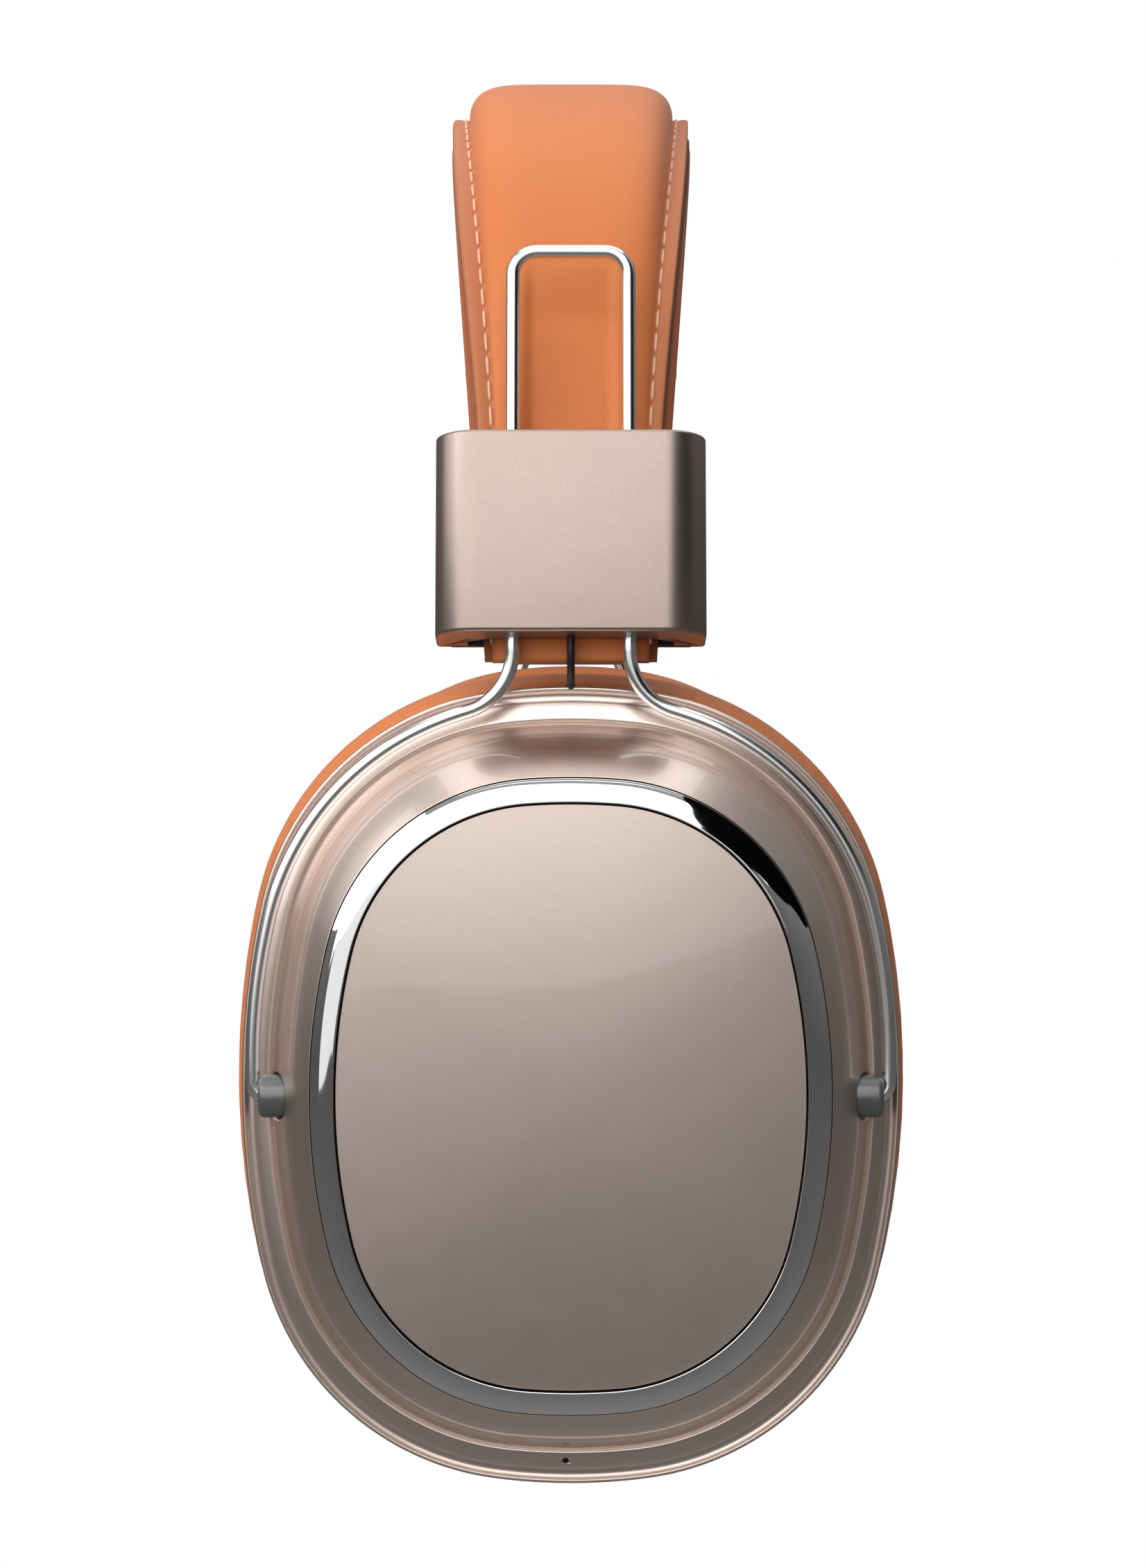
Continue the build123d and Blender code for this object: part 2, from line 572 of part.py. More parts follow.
def usb_inlet():
    """A charging inlet: a rounded metal shell with a tongue in its mouth."""
    shell = extrude(RectangleRounded(USB_T, USB_W, USB_T / 2 - 0.05), USB_L)
    mouth = extrude(RectangleRounded(USB_T - 0.8, USB_W - 0.8, USB_T / 2 - 0.45), USB_L - 1)
    tongue = Pos(0, 0, 1) * extrude(Rectangle(0.7, USB_W - 2.4), USB_L - 1)
    return shell - mouth + tongue


def circuit_board():
    """The board and its largest chips, each given as its place and its size."""
    chips = ((-9, 12, 9, 9), (8, 15, 6, 8), (-6, -10, 12, 7), (9, -14, 7, 7), (0, -22, 14, 4))
    board = at_height(extrude(RectangleRounded(40, 56, 4), 1.2), BOARD_H)
    for y, z, width, height in chips:
        board += at_height(Pos(y, z) * extrude(Rectangle(width, height), 1.1), BOARD_H + 1.2)
    return board


def power():
    """The right cup's battery and the tray that holds it, made in the left cup's place."""
    tray = at_height(Pos(0, 0, 2.6) * extrude(RectangleRounded(38, 54, 4), 4.2), 0)
    pocket = at_height(Pos(0, 0, 3.6) * extrude(Rectangle(32, 44), 4), 0)
    cell = at_height(Pos(0, 0, 3.65) * extrude(RectangleRounded(31.4, 43.4, 2), 3.3), 0)
    return {"battery_tray": tray - pocket, "battery": cell}


# ---- Assembly ----------------------------------------------------------------------------------------------
def write(name, shape):
    """Writes one node."""
    export_step(shape, f"parts/{name}.step")


def main():
    """Makes the left side, mirrors it for the right, and writes every node."""
    os.makedirs("parts", exist_ok=True)
    for name, shape in headband().items():
        write(name, shape)
    fixed, screws = sleeve()
    write("sleeve_screws", Compound(children=screws + [mirror(screw, Plane.YZ) for screw in screws]))
    shell = housing()
    pairs = {**fixed, **yoke(), **ear_side(), **outer_side()}
    left_shell, left_only = controls(shell)
    for name, shape in pairs.items():
        write(f"{name}_left", shape)
        write(f"{name}_right", mirror(shape, Plane.YZ))
    write("cup_shell_left", left_shell)
    write("cup_shell_right", mirror(shell, Plane.YZ))
    for name, shape in left_only.items():
        write(name, shape)
    for name, shape in power().items():
        write(name, mirror(shape, Plane.YZ))


main()
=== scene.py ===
# %% [markdown]
# # Over-ear headphones
# A leather headband over a steel band, two metal sleeves, two bent wire yokes that slide in them, and two
# oval cups that tilt on the wires' ends. The hard facts (where a piece is, how big it is, how it moves) come
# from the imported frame. This file makes the surfaces that a person would see and touch.

# %% The frame
import json
import math

import bpy
import numpy as np
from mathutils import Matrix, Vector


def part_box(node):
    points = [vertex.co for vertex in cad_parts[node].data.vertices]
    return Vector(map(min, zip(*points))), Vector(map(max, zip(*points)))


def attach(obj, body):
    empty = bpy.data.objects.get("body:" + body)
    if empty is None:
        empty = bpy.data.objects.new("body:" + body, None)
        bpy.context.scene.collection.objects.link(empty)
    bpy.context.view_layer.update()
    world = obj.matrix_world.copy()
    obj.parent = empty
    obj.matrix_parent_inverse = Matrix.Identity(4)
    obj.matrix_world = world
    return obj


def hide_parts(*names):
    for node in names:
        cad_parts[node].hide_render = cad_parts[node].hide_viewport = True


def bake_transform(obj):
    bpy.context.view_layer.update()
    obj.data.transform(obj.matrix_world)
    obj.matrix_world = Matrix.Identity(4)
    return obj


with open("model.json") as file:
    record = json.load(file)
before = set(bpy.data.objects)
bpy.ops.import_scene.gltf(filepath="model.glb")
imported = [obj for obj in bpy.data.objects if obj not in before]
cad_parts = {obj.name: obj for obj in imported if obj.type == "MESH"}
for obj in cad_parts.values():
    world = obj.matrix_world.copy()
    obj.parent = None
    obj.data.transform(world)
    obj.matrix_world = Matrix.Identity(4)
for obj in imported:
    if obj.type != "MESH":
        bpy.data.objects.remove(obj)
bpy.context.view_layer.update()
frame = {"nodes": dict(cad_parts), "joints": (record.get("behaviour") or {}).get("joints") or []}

MM = 0.001
SIDES = ((1, "left"), (-1, "right"))

# %% [markdown]
# ## The camera first
# The near cup is seen square on from half a metre, so the lens is long. The camera stands level with the
# middle of the headband's arch and looks down a little, which is why the cup's rim peeps out at the bottom
# while the leather behind it shows only at the top.

# %% The camera
CROWN_R = 60.5  # from the arch's centre to the face that rests on the head, which is the frame's origin
ARCH_Z = -CROWN_R
STAND_OFF = 572.0
PITCH_DOWN = math.radians(2.15)
camera_data = bpy.data.cameras.new("main_camera")
camera_data.lens = 91.55
camera_data.sensor_width = 36.0
camera = bpy.data.objects.new("main_camera", camera_data)
camera.location = (STAND_OFF * MM, 0.26 * MM, ARCH_Z * MM)
camera.rotation_euler = (math.pi / 2 - PITCH_DOWN, 0, math.pi / 2)
bpy.context.scene.collection.objects.link(camera)
bpy.context.scene.camera = camera
bpy.context.scene.view_settings.view_transform = "Standard"

# %% [markdown]
# ## Surfaces from arrays
# Every new piece is a grid of points: rows along one direction, columns along the other. A tube wraps its
# columns, a ring wraps both, and a disc ends in a pole. The faces are made by shifting the grid's numbering,
# with no loop over points. A closed surface's volume tells which way its faces point, so a piece that comes
# out inside out is turned at once. `settle` then says where the piece belongs.

# %% Grids to meshes
def grid_faces(rows, columns, wrap_rows, wrap_columns):
    """Quads between neighbouring rows and columns; a wrapped direction joins its last line to its first."""
    index = np.arange(rows * columns).reshape(rows, columns)
    if wrap_rows:
        index = np.vstack([index, index[:1]])
    if wrap_columns:
        index = np.hstack([index, index[:, :1]])
    return np.stack([index[:-1, :-1], index[1:, :-1], index[1:, 1:], index[:-1, 1:]], -1).reshape(-1, 4)


def signed_volume(points, faces):
    """Volume inside a closed surface: the sum of the tetrahedra from the origin to each half of each quad."""
    a, b, c, d = (points[faces[:, k]] for k in range(4))
    return (np.einsum("ij,ij->i", np.cross(a, b), c) + np.einsum("ij,ij->i", np.cross(a, c), d)).sum() / 6


def new_piece(name, points, faces, material, smooth=True):
    """Makes a mesh object at the origin from points in millimetres; a triangle repeats its last corner."""
    if signed_volume(points, faces) < 0:
        faces = faces[:, [0, 3, 2, 1]]
    mesh = bpy.data.meshes.new(name)
    polygons = [tuple(dict.fromkeys(face)) for face in faces.tolist()]
    mesh.from_pydata((points * MM).tolist(), [], polygons)
    mesh.polygons.foreach_set("use_smooth", np.full(len(polygons), smooth))
    mesh.materials.append(material)
    mesh.update()
    piece = bpy.data.objects.new(name, mesh)
    bpy.context.scene.collection.objects.link(piece)
    return piece


def closed_grid(name, grid, material, wrap_rows=True, wrap_columns=True, ends=None):
    """A closed surface from a grid (rows, columns, 3). ends are two poles that close the unwrapped rows."""
    rows, columns = grid.shape[:2]
    points = grid.reshape(-1, 3)
    faces = grid_faces(rows, columns, wrap_rows, wrap_columns)
    if ends is not None:
        count = len(points)
        points = np.vstack([points, ends])
        line = np.arange(columns)
        following = np.roll(line, -1)
        pole = np.full(columns, count)
        first = np.stack([line, following, pole, pole], -1)
        shift = (rows - 1) * columns
        last = np.stack([following + shift, line + shift, pole + 1, pole + 1], -1)
        faces = np.vstack([faces, first, last])
    return new_piece(name, points, faces, material)


def mirrored(grid, side):
    """The grid on the left side, or its mirror image on the right."""
    return grid * np.array([side, 1.0, 1.0])


def settle(piece, body, slot, *nodes):
    """Puts a piece on its body and hides the nodes it stands for; slot is not used."""
    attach(piece, body)
    if nodes:
        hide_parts(*nodes)
    print(piece.name, "on", body, "with", len(piece.data.polygons), "faces")


print("grid of 3 x 4, both ways wrapped:", len(grid_faces(3, 4, True, True)), "faces")


# %% [markdown]
# ## Node materials
# Each finish is one function that returns a material. A helper keeps the node code short: it adds a node,
# sets its sockets, and links what is another node's output.

# %% Node helpers
class Finish:
    """A material with a Principled shader and a short way to add nodes to it."""

    def __init__(self, name, **sockets):
        self.material = bpy.data.materials.new(name)
        self.material.use_nodes = True
        self.tree = self.material.node_tree
        self.shader = self.tree.nodes["Principled BSDF"]
        self.place = self.tree.nodes.new("ShaderNodeTexCoord").outputs["Object"]
        self.set(self.shader, sockets)

    def set(self, node, sockets):
        for key, value in sockets.items():
            socket = node.inputs[key if isinstance(key, int) else key.replace("_", " ")]
            if isinstance(value, bpy.types.NodeSocket):
                self.tree.links.new(value, socket)
            else:
                socket.default_value = value

    def node(self, kind, sockets, output=0, **settings):
        made = self.tree.nodes.new("ShaderNode" + kind)
        for key, value in settings.items():
            setattr(made, key, value)
        self.set(made, sockets)
        return made.outputs[output]

    def noise(self, scale, detail=4.0, **more):
        return self.node("TexNoise", {"Vector": self.place, "Scale": scale, "Detail": detail, **more})

    def math(self, operation, a, b=0.0):
        return self.node("Math", {0: a, 1: b}, operation=operation)

    def blend(self, factor, first, second):
        mix = self.tree.nodes.new("ShaderNodeMix")
        mix.data_type = "RGBA"
        whole = [c if isinstance(c, bpy.types.NodeSocket) else (*c, 1.0) for c in (first, second)]
        self.set(mix, {0: factor, 6: whole[0], 7: whole[1]})
        return mix.outputs[2]

    def span(self, value, low, high):
        return self.node("MapRange", {"Value": value, "To_Min": low, "To_Max": high})

    def bump(self, height, strength, distance):
        normal = self.node("Bump", {"Height": height, "Strength": strength, "Distance": distance})
        self.set(self.shader, {"Normal": normal})


# %% [markdown]
# ### Tan leather
# Drum-dyed leather has small rounded cells with creases between them, a slightly uneven dye, and a satin
# finish that is a little shinier on the high spots. Cells come from a Voronoi texture, the unevenness from
# slow noise. Object coordinates keep the grain at one size on every piece. The flanges beside the padded
# crown get a painted shade, a darker dye that an attribute of the cover's mesh mixes in. The leather on the
# inside of the band is a darker copy of the same leather, also a painted shade.

# %% Leather
PAINTED_SHADE_DYE = (0.47, 0.160, 0.070)  # painted shade: the flanges' darker colour where they lie in shade
PORE_FINENESS, PORE_SHARE = 2.6, 0.35  # pores are this much finer than the cells, and this much shallower


def leather(name, light, dark, grain=1500.0, depth=0.00006):
    """Cells, finer pores and a slow mottle of two dyes; the attribute "painted_shade" mixes in the painted
    shade dye.
    """
    finish = Finish(name, Specular_IOR_Level=0.35, Sheen_Weight=0.15, Sheen_Roughness=0.5)
    cells = finish.node("TexVoronoi", {"Vector": finish.place, "Scale": grain}, feature="SMOOTH_F1")
    pores = finish.noise(grain * PORE_FINENESS, 2.0)
    mottle = finish.noise(38.0, 3.0)
    dyed = finish.blend(finish.span(mottle, -0.1, 1.1), dark, light)
    # Painted shade: a darker dye where the mesh attribute marks the flanges.
    painted_shade = finish.node("Attribute", {}, output=2, attribute_name="painted_shade")
    finish.set(finish.shader, {"Base_Color": finish.blend(painted_shade, dyed, PAINTED_SHADE_DYE)})
    finish.set(finish.shader, {"Roughness": finish.span(cells, 0.46, 0.62)})
    finish.bump(finish.math("ADD", cells, finish.math("MULTIPLY", pores, PORE_SHARE)), 0.55, depth)
    return finish.material


TAN = leather("tan_leather", (0.74, 0.218, 0.056), (0.675, 0.186, 0.045))
# A darker copy of the tan leather: painted shade for the leather under the band.
SHADED_TAN = leather("shaded_leather", (0.42, 0.112, 0.032), (0.36, 0.094, 0.027))
print("leathers:", TAN.name, SHADED_TAN.name)


# %% [markdown]
# ### Champagne lacquer, satin champagne metal and chrome
# The housing and plate are a metallic lacquer under a clear coat: a soft, broad reflection with a faint crisp
# one on top. The sleeve has no coat. Chrome is a near-perfect mirror; only a trace of haze keeps it real.

# %% Metals
def champagne(name, dark, light, roughness, coat):
    """Metal flakes: each cell of a fine Voronoi pattern has its own tint and tilts the surface a trace."""
    finish = Finish(name, Metallic=1.0, Coat_Weight=coat, Coat_Roughness=0.025, Coat_IOR=1.5)
    flakes = finish.node("TexVoronoi", {"Vector": finish.place, "Scale": 5200.0}, output=1)
    tint = finish.node("SeparateColor", {0: flakes})
    finish.set(finish.shader, {
        "Base_Color": finish.blend(finish.span(tint, 0.0, 1.0), dark, light),
        "Roughness": finish.span(finish.noise(300.0), roughness - 0.02, roughness + 0.02),
    })
    finish.bump(tint, 0.04, 0.00001)
    return finish.material


def polished(name, colour, roughness, haze=0.02):
    """Bare metal whose roughness wanders by haze, as handling leaves it."""
    finish = Finish(name, Base_Color=(*colour, 1.0), Metallic=1.0)
    wander = finish.span(finish.noise(90.0, 5.0), roughness, roughness + haze)
    finish.set(finish.shader, {"Roughness": wander})
    return finish.material


LACQUER = champagne("champagne_lacquer", (0.81, 0.675, 0.60), (0.85, 0.71, 0.635), 0.35, 1.0)
SATIN = champagne("champagne_satin", (0.415, 0.334, 0.293), (0.445, 0.358, 0.314), 0.36, 0.0)
CHROME = polished("chrome", (0.90, 0.90, 0.91), 0.03)
BRIGHT = polished("bright_wire", (0.95, 0.95, 0.95), 0.19, 0.04)
STEEL = polished("steel", (0.55, 0.55, 0.56), 0.28, 0.1)
print("metals:", [metal.name for metal in (LACQUER, SATIN, CHROME, BRIGHT, STEEL)])


# %% [markdown]
# ### Paint, plastic, rubber, thread and cloth
# Small parts still need a grain: moulded plastic is spark-eroded, so it gets a fine pebble; thread gets a
# finer pebble; the cloth over the driver gets a plain weave made of two crossed waves.

# %% Plastics and threads
def moulded(name, colour, roughness, grain=2500.0, depth=0.00002, **more):
    """A fine pebble, and a colour that drifts between itself and a shade darker."""
    finish = Finish(name, Roughness=roughness, **more)
    pebble = finish.noise(grain, 2.0)
    darker = tuple(c * 0.8 for c in colour)
    drift = finish.blend(finish.span(finish.noise(60.0), 0, 1), darker, colour)
    finish.set(finish.shader, {"Base_Color": drift})
    finish.bump(pebble, 0.4, depth)
    return finish.material


def woven(name, colour, pitch_mm):
    """A plain weave: the product of a sine across and a sine along, one wave for each pitch."""
    finish = Finish(name, Roughness=0.85, Sheen_Weight=0.3)
    turns = 2 * math.pi / (pitch_mm * MM)
    parts = finish.tree.nodes.new("ShaderNodeSeparateXYZ")
    finish.set(parts, {0: finish.place})
    waves = [finish.math("SINE", finish.math("MULTIPLY", parts.outputs[k], turns)) for k in (1, 2)]
    weave = finish.math("MULTIPLY", *waves)
    finish.set(finish.shader, {"Base_Color": finish.blend(weave, tuple(c * 0.3 for c in colour), colour)})
    finish.bump(weave, 0.8, pitch_mm * MM * 0.3)
    return finish.material


BLACK = moulded("black_plastic", (0.03, 0.03, 0.032), 0.45)
GREY = moulded("pivot_grey", (0.20, 0.21, 0.205), 0.34, Metallic=0.55)
RUBBER = moulded("lead_rubber", (0.012, 0.012, 0.013), 0.4)
FOAM = moulded("foam", (0.05, 0.05, 0.05), 0.95, 1200.0, 0.0003)
THREAD = moulded("thread", (0.90, 0.55, 0.36), 0.6, 6000.0, 0.00004, Sheen_Weight=0.4)
CLOTH = woven("acoustic_cloth", (0.022, 0.022, 0.024), 0.55)
BOARD = moulded("solder_mask", (0.01, 0.09, 0.045), 0.3)
FILM = moulded("driver_film", (0.5, 0.44, 0.35), 0.25)
WRAP = moulded("cell_wrap", (0.20, 0.24, 0.28), 0.4)
LENS = moulded("light_lens", (0.7, 0.75, 0.8), 0.3, Transmission_Weight=0.4)
print("materials so far:", len(bpy.data.materials))

# %% [markdown]
# ## The cup's ovals
# Each outline of the cup is an oval of eight arcs: two sides, two ends and four corners, all tangent. The
# arcs' centres stay put when the oval grows by an even margin, so a lip, a groove and a dome can follow one
# another with no kink. A point is found from the direction that its outward normal has, and mixing two ovals
# at equal normals gives everything between them.

# %% Ovals
RIM_SHAPE = (107.0, 73.0, 34.6)  # side, end and corner radius
RING_SHAPE = (80.0, 76.0, 27.0)
EAR_SHAPE = (60.0, 30.0, 17.0)


def node_size(node):
    """Half width and half height of a node, in millimetres, as the ear sees it."""
    start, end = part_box(node)
    return (end.y - start.y) / 2 / MM, (end.z - start.z) / 2 / MM


RIM = np.array([*node_size("cup_shell_left"), *RIM_SHAPE])
RING = np.array([*node_size("trim_ring_left"), *RING_SHAPE])
EAR = np.array([21.0, 29.5, *EAR_SHAPE])
cup_low, cup_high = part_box("cup_shell_left")
CUP_Z = (cup_low.z + cup_high.z) / 2 / MM
RIM_X = cup_low.x / MM + 7.0


def corner(size):
    """Centre of the corner arc, and the normals at which it starts and ends."""
    half_w, half_h, side_r, end_r, corner_r = size
    side, end = np.array([half_w - side_r, 0.0]), np.array([0.0, half_h - end_r])
    gap = np.linalg.norm(end - side)
    reach, other = side_r - corner_r, end_r - corner_r
    along = (reach**2 - other**2 + gap**2) / (2 * gap)
    across = math.sqrt(reach**2 - along**2)
    way = (end - side) / gap
    both = [side + way * along + np.array([-way[1], way[0]]) * across * s for s in (1, -1)]
    centre = max(both, key=lambda p: p.sum())
    start, finish = centre - side, centre - end
    return centre, math.atan2(start[1], start[0]), math.atan2(finish[1], finish[0])


def oval(size, turns):
    """Points of an oval where its normal has the given turns: arc centre plus radius times the normal."""
    centre, start, finish = corner(size)
    folded = np.arctan2(np.abs(np.sin(turns)), np.abs(np.cos(turns)))
    on_side, on_end = folded < start, folded > finish
    y = np.where(on_side, size[0] - size[2], np.where(on_end, 0.0, centre[0]))
    z = np.where(on_side, 0.0, np.where(on_end, size[1] - size[3], centre[1]))
    radius = np.where(on_side, size[2], np.where(on_end, size[3], size[4]))
    y, z = y + radius * np.cos(folded), z + radius * np.sin(folded)
    return np.stack([y * np.sign(np.cos(turns)), z * np.sign(np.sin(turns))], -1)


print("rim", RIM[:2].round(2), "ring", RING[:2].round(2), "rim plane at", round(RIM_X, 2))


# %% Even spacing and cup rings
def even_turns(size, count):
    """Normals at evenly spaced points of an oval, from the arcs' lengths."""
    _, start, finish = corner(size)
    quarter = np.array([0.0, start, finish, math.pi / 2])
    lengths = np.concatenate([[0.0], np.cumsum(np.diff(quarter) * np.array([size[2], size[4], size[3]]))])
    back = quarter[-2::-1]
    knots = np.concatenate([quarter, math.pi - back, math.pi + quarter[1:], 2 * math.pi - back])
    total = lengths[-1]
    places = np.concatenate([lengths, 2 * total - lengths[-2::-1], 2 * total + lengths[1:],
                             4 * total - lengths[-2::-1]])
    return np.interp((np.arange(count) + 0.5) * 4 * total / count, places, knots)


def grown(size, margin):
    """The parallel oval, outside by margin."""
    return size + margin


def between(share, first=RIM, last=RING):
    """An oval part of the way from one to another."""
    return first + (last - first) * share


POINTS_ROUND = 288
TURNS = even_turns(RIM, POINTS_ROUND)


def cup_rings(sizes, heights, turns=TURNS):
    """Grid of a cup piece: one row for each oval, at its height outside the rim plane."""
    flat = np.stack([oval(size, turns) for size in sizes])
    x = np.broadcast_to((RIM_X + np.asarray(heights))[:, None], flat.shape[:2])
    return np.stack([x, flat[..., 0], flat[..., 1] + CUP_Z], -1)


print("widest and highest of the rim's points:", oval(RIM, TURNS).max(0).round(2))

# %% [markdown]
# ## Profiles
# A lathe operator thinks of a section: straight runs and the roundings between them. `rounded` takes the
# corners of a section and their radii and returns a dense line, and `soft` draws one smooth line through
# points where nothing is straight.

# %% Profile lines
def rounded(corners, radii, steps=6):
    """An open line through corners with an arc of the given radius at each one: start, corners, end."""
    corners = np.asarray(corners, float)
    line = [corners[:1]]
    for k in range(1, len(corners) - 1):
        back, ahead = corners[k - 1] - corners[k], corners[k + 1] - corners[k]
        reach_back, reach_ahead = np.linalg.norm(back), np.linalg.norm(ahead)
        back, ahead = back / reach_back, ahead / reach_ahead
        half = math.acos(np.clip(back @ ahead, -1, 1)) / 2
        cut = min(radii[k - 1] / math.tan(half), 0.49 * reach_back, 0.49 * reach_ahead)
        t = np.linspace(0, 1, steps)[:, None]
        start, end = corners[k] + back * cut, corners[k] + ahead * cut
        bow = cut * math.tan(half)
        centre = corners[k] + (back + ahead) / np.linalg.norm(back + ahead) * bow / math.sin(half)
        arm = start + (end - start) * t - centre
        line.append(centre + arm / np.linalg.norm(arm, axis=1)[:, None] * bow)
    line.append(corners[-1:])
    return np.vstack(line)


def soft(points, count):
    """A smooth line through points: Catmull-Rom, with its ends doubled."""
    points = np.asarray(points, float)
    padded = np.vstack([2 * points[0] - points[1], points, 2 * points[-1] - points[-2]])
    place = np.linspace(0, len(points) - 1, count)
    k = np.minimum(place.astype(int), len(points) - 2)
    t = (place - k)[:, None]
    a, b, c, d = (padded[k + j] for j in range(4))
    return 0.5 * (2 * b + (c - a) * t + (2 * a - 5 * b + 4 * c - d) * t**2 + (3 * b - a - 3 * c + d) * t**3)


# %% [markdown]
# ## The housing
# From the ear outwards: a short wall, a rolled lip, a shallow channel under the wire, a low ridge that ends
# in a crease, and a steep dome up to the trim ring. A section gives, for each point, how far it has gone
# from the rim's oval to the ring's (share), a margin, and a height. The wall's inside closes the loop.

# %% The housing
WALL = 1.8
LIP = [(0.0, -0.8, -7.0), (0.0, -0.8, -5.0), (0.0, -0.75, -3.0), (0.0, -0.45, -1.5), (0.0, -0.1, -0.75),
       (0.0, 0.0, -0.3), (0.0, -0.14, 0.1), (0.035, -0.08, 0.14), (0.06, 0.0, -0.05), (0.10, 0.0, -0.25),
       (0.15, 0.0, -0.2), (0.19, 0.0, 0.05)]
RIDGE = [(0.19, 0.0, 0.05), (0.24, 0.0, 0.32), (0.33, 0.0, 0.7), (0.365, 0.0, 0.8), (0.385, 0.0, 0.76),
         (0.395, 0.0, 0.64)]
INSIDE = [(1.0, -0.9, 10.0), (0.68, -WALL, 6.7), (0.54, -WALL, 3.7), (0.4, -WALL, -1.2), (0.0, -WALL, -1.8),
          (0.0, -WALL - 0.8, -4.0), (0.0, -WALL - 0.8, -6.9)]
DOME_FOOT, DOME_TOP, DOME_BULGE = (0.40, 0.62), (0.9955, 11.92), 0.08


def housing_grid():
    """The housing's surface: outside, the flat under the trim ring, inside, and the wall's edge."""
    u = np.linspace(0, 1, 90)
    share = DOME_FOOT[0] + (DOME_TOP[0] - DOME_FOOT[0]) * u
    height = DOME_FOOT[1] + (DOME_TOP[1] - DOME_FOOT[1]) * (u + DOME_BULGE * np.sin(math.pi * u))
    dome = np.stack([share, np.zeros_like(u), height], -1)
    seat = [(1.0, 0.02, 11.9), (1.0, 0.0, 11.8), (1.0, 0.0, 11.3), (1.0, -9.0, 11.3), (1.0, -9.0, 10.3)]
    section = np.vstack([soft(LIP, 60)[:-1], soft(RIDGE, 36), dome, seat, INSIDE])
    sizes = [grown(between(share), margin) for share, margin, _ in section]
    return cup_rings(sizes, section[:, 2])


# %% [markdown]
# ## Trim ring and face plate
# The ring is a chrome bezel with a crowned face: steep towards its outer edge, almost flat at its inner one,
# so its outer and inner halves catch different lights. The plate sits in it with a hairline gap and is a very
# slight dome, which is what bends a reflection across it.

# %% Ring and plate sections
RING_WIDTH, RING_GAP = 3.2, 0.14


def ring_grid():
    """The bezel's closed section, as margin from the ring's oval and height."""
    outer, inner = -RING_GAP, -RING_WIDTH + RING_GAP
    crown = [(outer - 0.1, 12.22), (-0.8, 12.66), (-1.5, 12.98), (-2.2, 13.22), (inner + 0.12, 13.38)]
    face = soft(crown, 24)
    first = rounded([(outer, 11.35), (outer, 12.14), face[0]], [0.08])
    last = rounded([face[-1], (inner, 13.36), (inner, 11.35)], [0.1])
    section = np.vstack([first, face[1:-1], last])
    return cup_rings([grown(RING, margin) for margin in section[:, 0]], section[:, 1])


def plate_grid():
    """The plate: its edge, a small rounding, and a dome that falls with the square of the distance."""
    edge = grown(RING, -RING_WIDTH - RING_GAP)
    top, sag = 14.2, 1.35
    shares = np.sin(np.linspace(math.pi / 2, 0.02, 48))
    dome = [(share, top - sag * share**2) for share in shares]
    brink = rounded([(1.0, 11.35), (1.0, dome[0][1]), dome[1]], [0.35])
    section = np.vstack([brink, dome[2:]])
    flat = oval(edge, TURNS)
    grid = section[:, 0][:, None, None] * flat[None]
    x = np.broadcast_to((RIM_X + section[:, 1])[:, None], grid.shape[:2])
    return np.stack([x, grid[..., 0], grid[..., 1] + CUP_Z], -1), (RIM_X + 11.35, RIM_X + top)


# %% Housing, bezel and plate of both cups
for side, word in SIDES:
    housing = closed_grid(f"housing_{word}", mirrored(housing_grid(), side), LACQUER)
    ring = closed_grid(f"bezel_{word}", mirrored(ring_grid(), side), CHROME)
    grid, (back, front) = plate_grid()
    poles = np.array([(side * back, 0, CUP_Z), (side * front, 0, CUP_Z)])
    plate = closed_grid(f"plate_{word}", mirrored(grid, side), LACQUER, wrap_rows=False, ends=poles)
    for piece, node, slot in ((housing, "cup_shell", "champagne_lacquer"), (ring, "trim_ring", "chrome"),
                              (plate, "face_plate", "champagne_metal")):
        settle(piece, f"cup_{word}", slot, f"{node}_{word}")

# %% [markdown]
# ## Pockets and holes
# The barrels turn in pockets, and the left cup has holes for its buttons, sockets, light and microphone. They
# are cut as a machinist cuts them, one after another, each with a Boolean and its own solid. A button's solid
# is the button's own hull, a little larger and drawn out along its press, so the gap round it stays even.

# %% Cutting holes
import bmesh

barrel_low, barrel_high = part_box("pivot_barrels_left")
PIVOT_X, PIVOT_Z = (barrel_low.x + barrel_high.x) / 2 / MM, ARCH_Z - 57.7
BARREL_R, BARREL_IN, BARREL_OUT = 2.68, 35.3, 39.0
POCKET_GAP, HOLE_GAP, PRESS_ROOM = 0.3, 0.08, 0.7
JACK_R, JACK_DEPTH, MIC_R, MIC_DROP = 1.8, 12.0, 0.4, 47.3


def rod(start, end, radius, around=48):
    """Points on both end circles of a straight rod."""
    start, end = np.asarray(start, float), np.asarray(end, float)
    axis = (end - start) / np.linalg.norm(end - start)
    first = np.cross(axis, [0.3, 0.5, 0.81])
    first /= np.linalg.norm(first)
    second = np.cross(axis, first)
    turn = np.linspace(0, 2 * math.pi, around, endpoint=False)[:, None]
    ring = radius * (np.cos(turn) * first + np.sin(turn) * second)
    return np.vstack([start + ring, end + ring])


def node_points(node):
    """A frame node's points in millimetres."""
    mesh = frame["nodes"][node].data
    points = np.empty(len(mesh.vertices) * 3)
    mesh.vertices.foreach_get("co", points)
    return points.reshape(-1, 3) / MM


def swollen(points, extra):
    """The points moved away from their middle so that the shape grows by extra on each side."""
    middle = (points.min(0) + points.max(0)) / 2
    arm = points - middle
    return middle + arm * (1 + extra / np.abs(arm).max())


